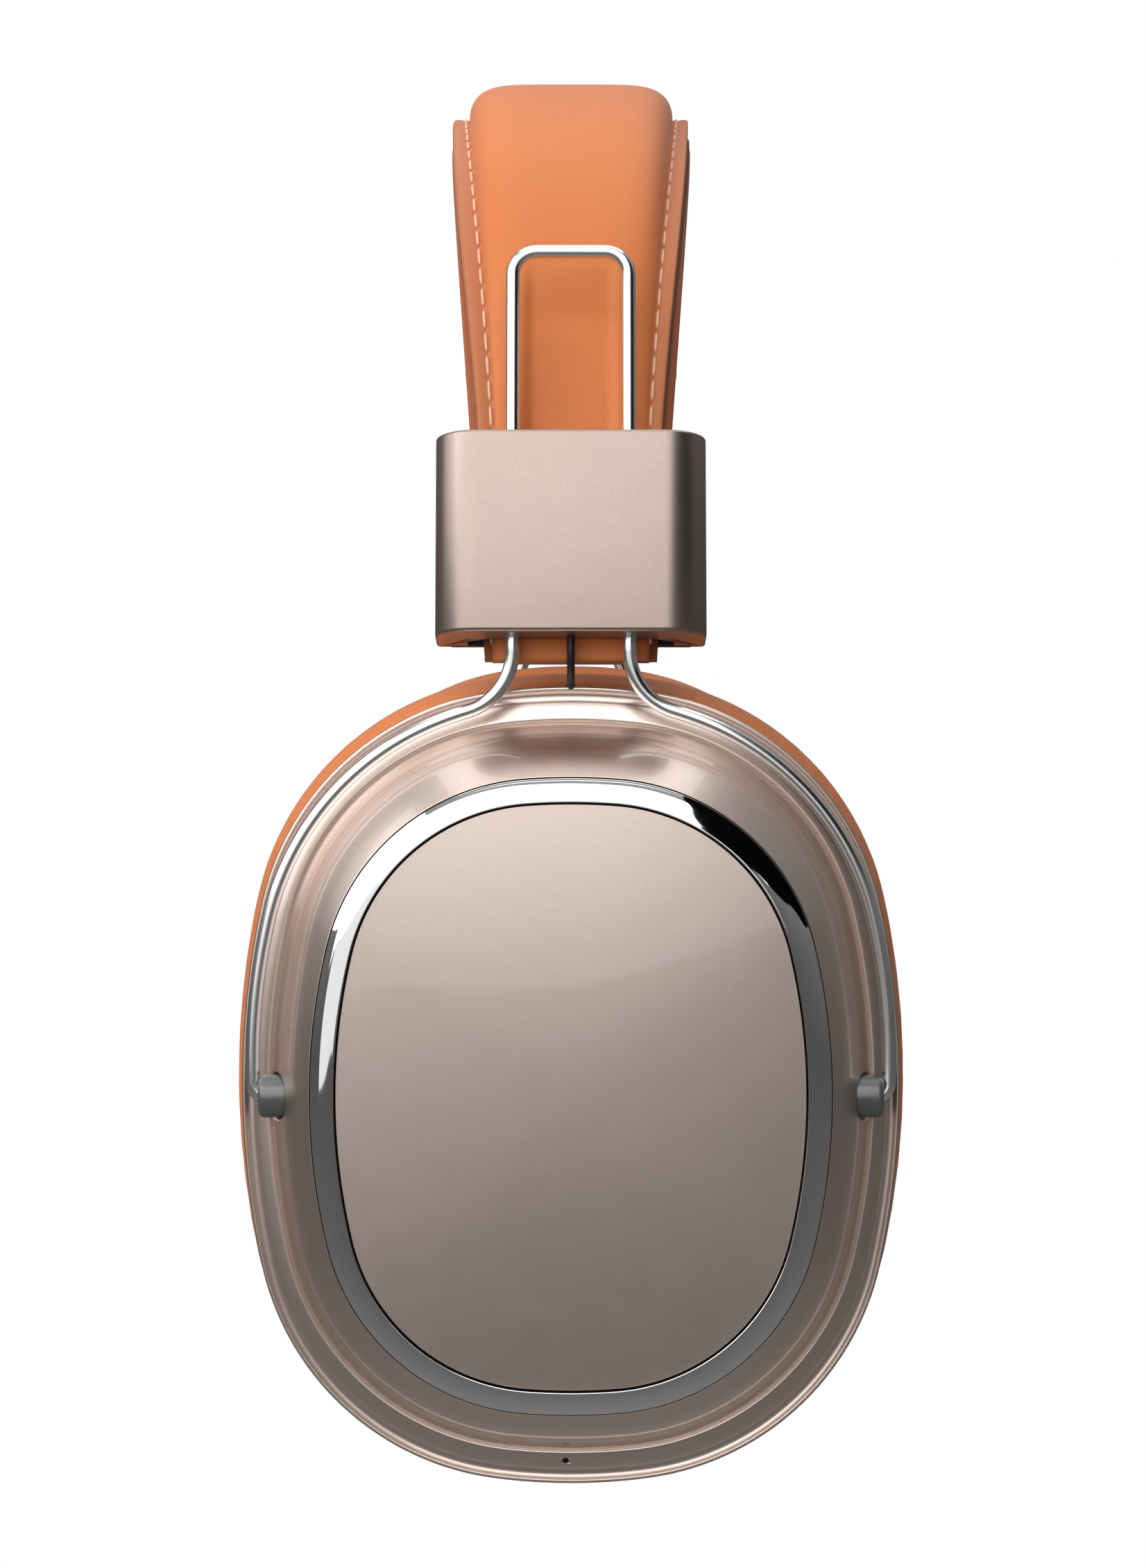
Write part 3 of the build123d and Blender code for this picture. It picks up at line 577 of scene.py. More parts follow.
def hull_object(points):
    """The convex hull of points as an object to cut with."""
    shape = bmesh.new()
    fresh = [shape.verts.new(tuple(p * MM)) for p in points]
    bmesh.ops.remove_doubles(shape, verts=fresh, dist=0.005 * MM)
    hull = bmesh.ops.convex_hull(shape, input=shape.verts)
    spare = {v for v in hull["geom_interior"] + hull["geom_unused"] if isinstance(v, bmesh.types.BMVert)}
    bmesh.ops.delete(shape, geom=list(spare), context="VERTS")
    mesh = bpy.data.meshes.new("cutter")
    shape.to_mesh(mesh)
    shape.free()
    cutter = bpy.data.objects.new("cutter", mesh)
    bpy.context.scene.collection.objects.link(cutter)
    return cutter


def cut(piece, solids):
    """Takes the convex hull of each set of points away from the piece, one after another."""
    cutters = [hull_object(points) for points in solids]
    for cutter in cutters:
        boolean = piece.modifiers.new("hole", "BOOLEAN")
        boolean.operation, boolean.object, boolean.solver = "DIFFERENCE", cutter, "EXACT"
    graph = bpy.context.evaluated_depsgraph_get()
    result = bpy.data.meshes.new_from_object(piece.evaluated_get(graph))
    before = len(piece.data.polygons)
    piece.modifiers.clear()
    piece.data = result
    for cutter in cutters:
        bpy.data.objects.remove(cutter)
    assert len(result.polygons) > before / 2, "a hole took the whole piece away"
    print(piece.name, "has", len(result.polygons), "faces after", len(solids), "cuts")


# %% Pockets of both cups, holes of the left one
for side, word in SIDES:
    solids = []
    for end in (1, -1):
        reach = (BARREL_IN - 0.4, BARREL_OUT + 0.5)
        start, stop = (np.array([side * PIVOT_X, end * y, PIVOT_Z]) for y in reach)
        solids.append(rod(start, stop, BARREL_R + POCKET_GAP))
    if word == "left":
        solids += [swollen(node_points(node), HOLE_GAP) for node in ("usb_port", "status_light")]
        for joint in frame["joints"]:
            if joint["child"].endswith("_button"):
                hull = swollen(node_points(joint["child"]), HOLE_GAP)
                solids.append(np.vstack([hull, hull + PRESS_ROOM * np.array(joint["axis"])]))
        jack = node_points("aux_jack")
        middle = (jack.min(0) + jack.max(0)) / 2
        solids.append(rod(middle, middle - np.array([0, 0, JACK_DEPTH]), JACK_R))
        mic_ends = [(RIM_X + x, -0.65, CUP_Z - MIC_DROP) for x in (-3, 3)]
        solids.append(rod(*mic_ends, MIC_R, 24))
    cut(bpy.data.objects[f"housing_{word}"], solids)

# %% [markdown]
# ## The yoke wire
# One length of round bar, bent: a loop, two legs that lean with the sleeve, a small bend to upright, a
# shoulder, an arm that follows the cup, and a tight bend into the pivot. The centre line is straight runs and
# arcs; a tube is then carried along it. Each ring of the tube is set by the line's direction and a reference
# direction made square to it, so the tube never twists.

# %% Places on the sleeve, and arcs
LEAN = math.radians(11)
OUT = np.array([math.cos(LEAN), 0.0, math.sin(LEAN)])
UP = np.array([-math.sin(LEAN), 0.0, math.cos(LEAN)])
WIRE_R, WIRE_N, LEG_HALF = 0.9, 73.5, 7.3
LOOP_TOP, LOOP_CORNER, BEND_START, BEND_R = 34.95, 3.0, -14.8, 8.0
SHOULDER_R, PIVOT_BEND, PIN_END = 7.8, 1.6, 31.3
ARM = np.array([39.75, 45.4, 77.0, 45.0, 35.0])
ARM_RISE = 4.6


def sleeve_point(y, n, s):
    """A point by its place across, out of and along the sleeve."""
    return OUT * n + UP * s + np.array([0.0, y, ARCH_Z])


def arc(centre, first, second, start, end, step=0.12):
    """Points on a circle arc: centre plus two square radius vectors turned from start to end (degrees)."""
    count = max(3, int(np.linalg.norm(first) * abs(math.radians(end - start)) / step / 4))
    t = np.radians(np.linspace(start, end, count))[:, None]
    return centre + np.cos(t) * first + np.sin(t) * second


# %% The wire's centre line
def wire_line():
    """Half the wire's centre line, from the middle of its loop to the pivot pin's end."""
    across = np.array([0.0, 1.0, 0.0])
    loop_c = sleeve_point(LEG_HALF - LOOP_CORNER, WIRE_N, LOOP_TOP - LOOP_CORNER)
    bend_top = sleeve_point(LEG_HALF, WIRE_N, BEND_START)
    bend_c = bend_top - OUT * BEND_R
    upright_x = bend_c[0] + BEND_R
    end_c = np.array([0.0, ARM_RISE + ARM[1] - ARM[3]])
    rise = end_c[1] + math.sqrt((ARM[3] + SHOULDER_R) ** 2 - (LEG_HALF + SHOULDER_R) ** 2)
    shoulder_c = np.array([LEG_HALF + SHOULDER_R, rise])
    touch = math.degrees(math.atan2(rise - end_c[1], shoulder_c[0]))
    arm_turns = np.radians(np.linspace(touch, 0, 90))
    arm = oval(ARM, arm_turns) + np.array([0.0, ARM_RISE])

    def upright(flat):
        flat = np.atleast_2d(flat)
        return np.stack([np.full(len(flat), upright_x), flat[:, 0], flat[:, 1] + PIVOT_Z], -1)

    y2, z2 = np.array([1.0, 0.0]), np.array([0.0, 1.0])
    shoulder = arc(shoulder_c, -y2 * SHOULDER_R, -z2 * SHOULDER_R, 0, touch)
    pivot = arc(np.array([ARM[0] - PIVOT_BEND, PIVOT_BEND]), y2 * PIVOT_BEND, -z2 * PIVOT_BEND, 0, 90)
    return np.vstack([
        [sleeve_point(0.0, WIRE_N, LOOP_TOP)],
        arc(loop_c, UP * LOOP_CORNER, across * LOOP_CORNER, 0, 90),
        np.linspace(sleeve_point(LEG_HALF, WIRE_N, LOOP_TOP - LOOP_CORNER - 0.3), bend_top, 30),
        arc(bend_c, OUT * BEND_R, -UP * BEND_R, 0, math.degrees(LEAN)),
        upright(shoulder),
        upright(arm[1:]),
        upright(pivot),
        upright([PIN_END, 0.0]),
    ])


# %% The wire
def tube(line, radius, around=28):
    """Grid of a tube: at each point, a circle square to the line, with no twist."""
    ahead = np.gradient(line, axis=0)
    ahead /= np.linalg.norm(ahead, axis=1)[:, None]
    reference = np.array([1.0, 0.13, 0.07])
    first = np.cross(ahead, reference)
    first /= np.linalg.norm(first, axis=1)[:, None]
    second = np.cross(ahead, first)
    turn = np.linspace(0, 2 * math.pi, around, endpoint=False)
    ring = np.cos(turn)[None, :, None] * first[:, None] + np.sin(turn)[None, :, None] * second[:, None]
    return line[:, None] + ring * np.reshape(radius, (-1, 1, 1))


half_line = wire_line()
half_line = half_line[np.append(True, np.linalg.norm(np.diff(half_line, axis=0), axis=1) > 0.02)]
whole_line = np.vstack([half_line[::-1] * np.array([1, -1, 1]), half_line[1:]])
print("wire length", round(float(np.linalg.norm(np.diff(whole_line, axis=0), axis=1).sum()), 1), "mm")

for side, word in SIDES:
    line = mirrored(whole_line, side)
    wire = closed_grid(f"wire_{word}", tube(line, WIRE_R), BRIGHT, wrap_rows=False, ends=line[[0, -1]])
    settle(wire, f"yoke_{word}", "chrome", f"yoke_wire_{word}")

# %% [markdown]
# ## Pivot barrels, bushes and the lead
# A grey barrel is moulded round each end of the wire. It is a turned shape: a section spun about the pivot.
# The lead is a thin black tube: straight in the sleeve, then leaning in to its grommet at the top of the cup.

# %% Barrel and lead shapes
def turned(section, centre, axis, first, second, around=40):
    """Grid of a shape spun about an axis: section gives distance along the axis and radius."""
    section = np.asarray(section, float)
    turn = np.linspace(0, 2 * math.pi, around, endpoint=False)
    ring = np.cos(turn)[None, :, None] * first + np.sin(turn)[None, :, None] * second
    return centre + section[:, 0][:, None, None] * axis + section[:, 1][:, None, None] * ring


def barrel(name, side, end):
    """One barrel, with rounded ends."""
    section = rounded([(BARREL_IN, 0.02), (BARREL_IN, BARREL_R), (BARREL_OUT, BARREL_R), (BARREL_OUT, 0.02)],
                      [0.35, 0.7], 7)
    axis = np.array([0.0, float(end), 0.0])
    centre = np.array([side * PIVOT_X, 0.0, PIVOT_Z])
    grid = turned(section, centre, axis, np.array([1.0, 0, 0]), np.array([0, 0, 1.0]))
    poles = centre + axis * np.array([[BARREL_IN], [BARREL_OUT]])
    return closed_grid(name, grid, GREY, wrap_rows=False, ends=poles)


LEAD_TURN = -18.6  # where the lead leans in, just below the headband's tail


def lead_line():
    """The lead: down the sleeve, round a small arc, and in to the cup."""
    top, turn = sleeve_point(0, WIRE_N, 8.0), sleeve_point(0, WIRE_N, LEAD_TURN)
    inlet = np.array([70.2, 0.0, PIVOT_Z + 50.2])
    bent = rounded([top[[0, 2]], turn[[0, 2]], inlet[[0, 2]]], [4.0], 14)
    down, inward = np.linspace(bent[0], bent[1], 24), np.linspace(bent[-2], bent[-1], 10)
    dense = np.vstack([down[:-1], bent[1:-1], inward[1:]])
    return np.stack([dense[:, 0], np.zeros(len(dense)), dense[:, 1]], -1)


# %% Barrels, leads and grommets
LEAD_R = 0.5

for side, word in SIDES:
    for end, place in ((1, "back"), (-1, "front")):
        piece = barrel(f"barrel_{word}_{place}", side, end)
        settle(piece, f"yoke_{word}", "pivot_grey", f"pivot_barrels_{word}")
    line = mirrored(lead_line(), side)
    lead = closed_grid(f"lead_{word}", tube(line, LEAD_R, 16), RUBBER, wrap_rows=False, ends=line[[0, -1]])
    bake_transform(lead)
    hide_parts(f"cup_lead_{word}")
    inward = (line[-1] - line[-4]) / np.linalg.norm(line[-1] - line[-4])
    across = np.cross(inward, [0.0, 1.0, 0.0])
    section = rounded([(1.6, 0.55), (1.6, 1.05), (-0.7, 1.0), (-1.5, 0.72), (-1.5, 0.53)], [0.15, 0.4, 0.12])
    grid = turned(section, line[-1], inward, across, np.array([0.0, 1.0, 0.0]), 32)
    grommet = closed_grid(f"grommet_{word}", grid, RUBBER)
    settle(grommet, f"cup_{word}", "lead_rubber", f"lead_grommet_{word}")

# %% [markdown]
# ## The sleeve
# An extruded metal block with large rounded front corners, worn over the band. Its section runs round the
# outside; the ends get a small bevel, and the band's channel runs through it.

# %% The sleeve's section
SLEEVE_IN, SLEEVE_OUT, SLEEVE_LOW, SLEEVE_HIGH = 66.4, 77.6, -14.6, 11.0
SLEEVE_HALF, SLEEVE_CORNER = 16.95, 5.2
CHANNEL_HALF, CHANNEL_OUT = 12.95, 72.1
OPENING_HALF, OPENING_OUT = 15.1, 67.65  # the wider opening at the back, which the back plate fills


def block_section(inset=0.0, dense=10):
    """The outside of the sleeve's section: across and out, with two large corners and two small ones."""
    half, inner, outer = SLEEVE_HALF - inset, SLEEVE_IN + inset, SLEEVE_OUT - inset
    corners = [(OPENING_HALF, inner), (half, inner), (half, outer),
               (-half, outer), (-half, inner), (-OPENING_HALF, inner)]
    return rounded(corners, [0.4, SLEEVE_CORNER, SLEEVE_CORNER, 0.4], dense)


def channel_section(count, inset=0.0):
    """The channel's outline, matched point for point to the outside."""
    right = [(OPENING_HALF, SLEEVE_IN + inset), (OPENING_HALF, OPENING_OUT),
             (CHANNEL_HALF, OPENING_OUT), (CHANNEL_HALF, CHANNEL_OUT)]
    corners = right + [(-across, out) for across, out in right[::-1]]
    steps = np.concatenate([[0.0], np.cumsum(np.linalg.norm(np.diff(corners, axis=0), axis=1))])
    place = np.linspace(0, steps[-1], count)
    flat = np.asarray(corners)
    line = np.stack([np.interp(place, steps, flat[:, k]) for k in (0, 1)], -1)
    near = np.abs(place[:, None] - steps).argmin(0)
    line[near] = flat
    return line


def sleeve_grid(side):
    """Rows run along the sleeve, outside then back through the channel; columns run round the section."""
    bevel = 0.45
    turns = np.linspace(0, math.pi / 2, 6)  # the bevel is a quarter circle
    rows = [(bevel * (1 - math.sin(t)), SLEEVE_LOW + bevel * (1 - math.cos(t))) for t in turns]
    rows += [(bevel * (1 - math.cos(t)), SLEEVE_HIGH - bevel * (1 - math.sin(t))) for t in turns]
    outside = [(block_section(inset), s) for inset, s in rows]
    inside = [(channel_section(len(outside[0][0]), inset), s) for inset, s in rows[::-1]]
    rings = [sleeve_rows(flat, s) for flat, s in outside + inside]
    return mirrored(np.stack(rings), side)


# %% Welding, and both sleeves
def weld(piece):
    """Joins points that lie on each other, which closes the seams where the outside meets the channel."""
    shape = bmesh.new()
    shape.from_mesh(piece.data)
    bmesh.ops.remove_doubles(shape, verts=shape.verts, dist=0.001 * MM)
    print(piece.name, "open edges:", sum(edge.is_boundary for edge in shape.edges))
    shape.to_mesh(piece.data)
    shape.free()


def sleeve_rows(flat, s):
    """Places a section of the sleeve at a height along it."""
    across = np.stack([np.zeros(len(flat)), flat[:, 0], np.full(len(flat), ARCH_Z)], -1)
    return OUT * flat[:, 1:2] + UP * s + across


for side, word in SIDES:
    sleeve = closed_grid(f"sleeve_{word}", sleeve_grid(side), SATIN, wrap_columns=False)
    weld(sleeve)
    settle(sleeve, "headband", "champagne_metal", f"sleeve_shell_{word}")

# %% [markdown]
# ## The headband's leather
# The cover is one hide: thin flanges at the sides and a padded crown between two rows of stitches. Rows run
# over the head, from one end of the band to the other. Columns run round the section, whose height is a
# formula: the flange, plus the pad's height times a superellipse, less a shallow pocket inside the wire loop
# and a fine valley under the thread.

# %% Headband shape
BAND_R, TAIL = 70.0, 17.3
REACH = math.pi / 2 - LEAN


def arch_point(t, r):
    """A point on the headband: t is the length from the crown at BAND_R, r the distance from its centre."""
    angle = np.clip(t / BAND_R, -REACH, REACH)
    extra = t - angle * BAND_R
    x = r * np.sin(angle) + extra * np.cos(angle)
    z = r * np.cos(angle) - extra * np.sin(angle)
    return x, z


def through(points):
    """A curve through three points (width, height), level below the first."""
    widths, heights = np.transpose(points)
    fit = np.polyfit(heights, widths, 2)
    return lambda z: np.where(z < heights[0], widths[0], np.polyval(fit, z))


flange_half = through([(10.6, -5), (13.25, 33), (16.75, 73)])
pad_half = through([(9.85, 24), (12.0, 50), (15.0, 73)])
FOOT_IN, SEAM_OUT = 0.4, 0.1  # how far the pad's foot is inside that line, and the stitches outside it
print("flange and pad, half widths at the crown:", float(flange_half(73.0)), float(pad_half(73.0)))


def crescent(t, top, round_r, least):
    """Radius of an arc whose centre is above the arch's: highest at the crown."""
    angle = np.clip(t / BAND_R, -REACH, REACH)
    rise = top - round_r
    return np.maximum(rise * np.cos(angle) + np.sqrt(round_r**2 - (rise * np.sin(angle)) ** 2), least)


def smooth_step(value):
    """0 below 0, 1 above 1, and an even curve between."""
    value = np.clip(value, 0, 1)
    return value * value * (3 - 2 * value)


# %% The cover's height
def cover_height(t, y):
    """Distance of the cover's outer face from the arch's centre: flange + pad - seam valley - loop pocket."""
    z = arch_point(t, 71.0)[1]
    foot, flange = pad_half(z) - FOOT_IN, crescent(t, 72.7, 71.05, 71.2)
    pad = crescent(t, 77.7, 70.14, 72.05) - flange
    share = np.clip(np.abs(y) / foot, 0, 1)
    plump = smooth_step((z - 20) / 50)
    high = (1 - share ** (2.7 + 3.3 * plump)) ** (1 / (1.5 + 0.7 * plump))
    seam = np.exp(-(((np.abs(y) - foot - 0.45) / 0.4) ** 2))
    pocket = smooth_step((6.4 - np.abs(y)) / 1.8) * smooth_step((48.0 - z) / 7.0) * (z > 0)
    edge = smooth_step((np.abs(y) - foot - 0.9) / 0.8)
    return flange + pad * high - 0.16 * seam - 0.75 * pocket + 0.06 * edge


# %% The cover
def cover_grid():
    """The cover: a closed section at each place along the band."""
    t = np.linspace(-1, 1, 420) * (REACH * BAND_R + TAIL)
    z = arch_point(t, 71.0)[1]
    half = (flange_half(z) - 0.9 * smooth_step((66.0 - z) / 40.0))[:, None]
    foot = pad_half(z)[:, None] - FOOT_IN
    inner = np.sin(np.linspace(-math.pi / 2, math.pi / 2, 72))[None]
    rim = np.linspace(1.0, 0.0, 12)[None]
    left = -half + (half - foot) * (1 - rim)
    right = half - (half - foot) * rim[:, ::-1]
    top_y = np.concatenate([left[:, :-1], foot * inner, right[:, 1:]], 1)
    length = np.broadcast_to(t[:, None], top_y.shape)
    near_edge = 1 - np.clip((half - np.abs(top_y)) / 0.6, 0, 1)
    round_off = 0.55 * (1 - np.sqrt(np.clip(1 - near_edge**2, 0, 1)))
    top_r = cover_height(length, top_y) - round_off
    side_y = np.concatenate([half, half * 0.6, half * 0.2, -half * 0.2, -half * 0.6, -half], 1)
    under_r = np.full(side_y.shape, 69.95)
    y = np.concatenate([top_y, side_y], 1)
    r = np.concatenate([top_r, under_r], 1)
    x, z = arch_point(np.broadcast_to(t[:, None], y.shape), r)
    return np.stack([x, y, z + ARCH_Z], -1)


def painted_shade_share(grid):
    """How much painted shade each point gets: 0 on the padded crown, up to 0.7 outside its foot."""
    foot = pad_half(grid[..., 2] - ARCH_Z) - FOOT_IN
    return 0.7 * smooth_step((np.abs(grid[..., 1]) - foot + 0.5) / 1.0)


grid = cover_grid()
cover = closed_grid("leather_cover", grid, TAN, wrap_rows=False, ends=grid[[0, -1]].mean(1))
# The flanges' painted shade, carried by a mesh attribute.
painted_shade = np.append(painted_shade_share(grid).ravel(), [0.0, 0.0])
cover.data.attributes.new("painted_shade", "FLOAT", "POINT").data.foreach_set("value", painted_shade)
settle(cover, "headband", "tan_leather", "headband_cover")


# %% [markdown]
# The foam under the crown follows the cover from within, one skin's thickness below its face.

# %% Crown foam
SKIN = 1.1


def foam_grid():
    """The foam: from the band's cover up to one skin below the pad, closed at the pad's foot."""
    t = np.linspace(-1, 1, 160) * 62.0
    foot = pad_half(arch_point(t, 71.0)[1])[:, None] - FOOT_IN
    over = (foot - SKIN) * np.sin(np.linspace(-math.pi / 2, math.pi / 2, 40))[None]
    length = np.broadcast_to(t[:, None], over.shape)
    top = np.maximum(cover_height(length, over) - SKIN, 70.95)
    y = np.concatenate([over, over[:, ::-1]], 1)
    r = np.concatenate([top, np.full(over.shape, 70.9)], 1)
    x, z = arch_point(np.broadcast_to(t[:, None], y.shape), r)
    return np.stack([x, y, z + ARCH_Z], -1)


grid = foam_grid()
foam = closed_grid("crown_pad_foam", grid, FOAM, wrap_rows=False, ends=grid[[0, -1]].mean(1))
settle(foam, "headband", "foam", "crown_foam")

# %% [markdown]
# ## Stitches
# A saddle stitch shows a short, fat length of thread, then a gap where it goes down. One stitch is a small
# capsule. All of them are made at once: an array of places along the seam times the capsule's points.

# %% Stitches
STITCH_PITCH, STITCH_LENGTH, THREAD_R = 3.5, 3.05, 0.18


def capsule(length, radius, along=7, around=8):
    """Grid of a capsule along x: a circle whose radius fades at both ends."""
    place = np.linspace(-1, 1, along)
    size = radius * np.sqrt(1 - np.abs(place) ** 6) + 0.01
    turn = np.linspace(0, 2 * math.pi, around, endpoint=False)
    x = np.broadcast_to(place[:, None] * length / 2, (along, around))
    return np.stack([x, size[:, None] * np.cos(turn), size[:, None] * np.sin(turn)], -1)


def stitches(name, side):
    """A row of stitches beside the pad's foot, each laid along the seam."""
    count = int(2 * (REACH * BAND_R + TAIL - 1.5) / STITCH_PITCH)
    t = (np.arange(count) - (count - 1) / 2) * STITCH_PITCH

    def seam(t):
        z = arch_point(t, 71.0)[1]
        y = side * (pad_half(z) + SEAM_OUT)
        x, z = arch_point(t, cover_height(t, y) + THREAD_R * 0.6)
        return np.stack([x, y, z + ARCH_Z], -1)

    centre = seam(t)
    ahead = seam(t + 0.5) - seam(t - 0.5)
    ahead /= np.linalg.norm(ahead, axis=1)[:, None]
    across = np.array([0.0, 1.0, 0.0]) - ahead * ahead[:, 1:2]
    across /= np.linalg.norm(across, axis=1)[:, None]
    out = np.cross(ahead, across)
    one = capsule(STITCH_LENGTH, THREAD_R)
    flat = one.reshape(-1, 3)
    points = (centre[:, None] + flat[None, :, :1] * ahead[:, None] + flat[None, :, 1:2] * across[:, None]
              + flat[None, :, 2:] * out[:, None])
    quads = grid_faces(*one.shape[:2], False, True)
    shift = np.arange(count)[:, None, None] * len(flat)
    return new_piece(name, points.reshape(-1, 3), (quads[None] + shift).reshape(-1, 4), THREAD)


for side, word in ((-1, "front"), (1, "back")):
    row = stitches(f"stitches_{word}", side)
    settle(row, "headband", "tan_leather")

# %% [markdown]
# ## Filling a cushion
# Foam in a leather cover is under slight pressure, so its faces bulge between their seams. A cloth simulation
# does that: the shape is remeshed into even squares, pumped up for twenty frames without gravity, and held
# where it is glued to something hard. No point may move further than a cap, and one subdivision smooths the
# result. Seams and wrinkles come after it, because the remesh would wipe them out.

# %% Cloth simulation
VOXEL, FRAMES, PRESSURE = 1.7, 20, 4.0


def filled(piece, cap, held):
    """Pumps up a cushion. cap is the furthest a point may move; held says, from points, which stay put."""
    scene = bpy.context.scene
    remesh = piece.modifiers.new("even", "REMESH")
    remesh.mode, remesh.voxel_size, remesh.use_smooth_shade = "VOXEL", VOXEL * MM, True
    graph = bpy.context.evaluated_depsgraph_get()
    even = bpy.data.meshes.new_from_object(piece.evaluated_get(graph))
    piece.modifiers.clear()
    piece.data = even
    rest = read_points(even)
    pins = piece.vertex_groups.new(name="held")
    pins.add(np.flatnonzero(held(rest)).tolist(), 1.0, "REPLACE")
    cloth = piece.modifiers.new("cloth", "CLOTH")
    cloth.settings.use_pressure = True
    cloth.settings.uniform_pressure_force = PRESSURE
    cloth.settings.vertex_group_mass = "held"
    cloth.settings.effector_weights.gravity = 0.0
    cloth.point_cache.frame_start, cloth.point_cache.frame_end = 1, FRAMES
    for step in range(1, FRAMES + 1):
        scene.frame_set(step)
    moved = bpy.data.meshes.new_from_object(piece.evaluated_get(bpy.context.evaluated_depsgraph_get()))
    shift = read_points(moved) - rest
    piece.modifiers.clear()
    piece.vertex_groups.clear()
    reach = np.linalg.norm(shift, axis=1)
    shift *= (cap * np.tanh(reach / cap) / np.maximum(reach, 1e-6))[:, None]
    write_points(even, rest + shift)
    scene.frame_set(1)
    print(piece.name, "cloth moved up to", round(float(reach.max()), 2), "mm, kept to", cap)
    smooth = piece.modifiers.new("fine", "SUBSURF")
    smooth.levels = smooth.render_levels = 1
    fine = bpy.data.meshes.new_from_object(piece.evaluated_get(bpy.context.evaluated_depsgraph_get()))
    piece.modifiers.clear()
    piece.data = fine
    fine.polygons.foreach_set("use_smooth", np.ones(len(fine.polygons), bool))


def read_points(mesh):
    """A mesh's points as an array in millimetres."""
    points = np.empty(len(mesh.vertices) * 3)
    mesh.vertices.foreach_get("co", points)
    return points.reshape(-1, 3) / MM


def write_points(mesh, points):
    """Puts an array of points in millimetres into a mesh."""
    mesh.vertices.foreach_set("co", (points * MM).ravel())
    mesh.update()


def dent(piece, depth):
    """Moves each point inward along its normal by depth, an array worked out from the points."""
    points = read_points(piece.data)
    normals = np.empty(len(points) * 3)
    piece.data.vertices.foreach_get("normal", normals)
    write_points(piece.data, points - normals.reshape(-1, 3) * depth(points)[:, None])


# %% [markdown]
# ## Headband cushion and lining
# Under the band is a foam bolster in the darker copy of the tan leather, a painted shade: rounded edges, a
# crowned face against the head, and blunt ends. The lining is a thin strip between the two, in the same
# painted-shade leather, and its edges show beside the cover.

# %% Headband cushion
BOLSTER_REACH = 67.0  # degrees from the crown to each end
BOLSTER_TOP, BOLSTER_MIDDLE, BOLSTER_DEPTH = 67.85, 64.2, 3.65


def bolster_grid():
    """The cushion: a superellipse section that shrinks to nothing at its two ends."""
    reach = math.radians(BOLSTER_REACH) * BAND_R
    place = np.sin(np.linspace(-math.pi / 2, math.pi / 2, 220))
    t = place * reach
    fade = (1 - np.abs(place) ** 30) ** 0.45
    turn = np.linspace(0, 2 * math.pi, 72, endpoint=False)
    wide = np.sign(np.cos(turn)) * np.abs(np.cos(turn)) ** 0.62
    thick = np.sign(np.sin(turn)) * np.abs(np.sin(turn)) ** 0.8
    half = np.minimum(flange_half(arch_point(t, 71.0)[1]) + 0.3, 14.5)[:, None]
    y = half * wide[None] * (0.7 + 0.3 * fade[:, None])
    crown = 0.5 * (1 - wide[None] ** 2) * (thick[None] < 0)
    below_top = BOLSTER_TOP - BOLSTER_MIDDLE - BOLSTER_DEPTH * thick[None] + crown
    r = np.clip(BOLSTER_TOP + 0.45 - below_top * fade[:, None], CROWN_R, BOLSTER_TOP)
    x, z = arch_point(np.broadcast_to(t[:, None], y.shape), r)
    return np.stack([x, y, z + ARCH_Z], -1)


grid = bolster_grid()
# The bolster's darker leather is a painted shade.
bolster = closed_grid("headband_bolster", grid, SHADED_TAN, wrap_rows=False, ends=grid[[0, -1]].mean(1))


def from_arch(points):
    """Distance of points from the arch's centre line, across the headband's curve."""
    return np.hypot(points[:, 0], points[:, 2] - ARCH_Z)


def bolster_tucks(points):
    """Shallow cross tucks, 12 mm apart, that fade out towards the middle of the cushion's face."""
    along = np.arctan2(points[:, 0], points[:, 2] - ARCH_Z) * BAND_R
    side = smooth_step((np.abs(points[:, 1]) - 7.0) / 5.0)
    face = smooth_step((67.0 - from_arch(points)) / 2.0)
    return 0.10 * face * side * np.exp(-((np.abs((along / 12.0) % 1 - 0.5) / 0.09) ** 2))


filled(bolster, 0.5, lambda points: from_arch(points) > 67.0)
dent(bolster, bolster_tucks)
settle(bolster, "headband", "dark_leather", "headband_cushion")


# %% Lining
def lining_grid():
    """The lining: a thin strip under the band, a little wider than the cover near the sleeves."""
    t = np.linspace(-1, 1, 300) * (REACH * BAND_R + TAIL - 0.5)
    z = arch_point(t, 71.0)[1]
    half = (flange_half(z) + 0.1)[:, None]
    low, high = 67.92, 68.9
    width = np.array([-1, -0.995, -0.98, -0.5, 0.0, 0.5, 0.98, 0.995, 1])
    rounding = np.array([0.3, 0.08, 0, 0, 0, 0, 0, 0.08, 0.3])
    face, back = np.stack([width, low + rounding], -1), np.stack([width, high - rounding], -1)
    edge = np.vstack([face, back[::-1]])
    y = half * edge[None, :, 0]
    x, z = arch_point(np.broadcast_to(t[:, None], y.shape), np.broadcast_to(edge[None, :, 1], y.shape))
    return np.stack([x, y, z + ARCH_Z], -1)


grid = lining_grid()
# The lining's darker leather is a painted shade.
lining = closed_grid("band_lining", grid, SHADED_TAN, wrap_rows=False, ends=grid[[0, -1]].mean(1))
settle(lining, "headband", "dark_leather", "headband_lining")

# %% [markdown]
# ## Ear cushions
# A ring of foam in leather: a skirt that tucks behind the housing, a full outer roll, a crowned face, and a
# wall down to the cloth over the driver.

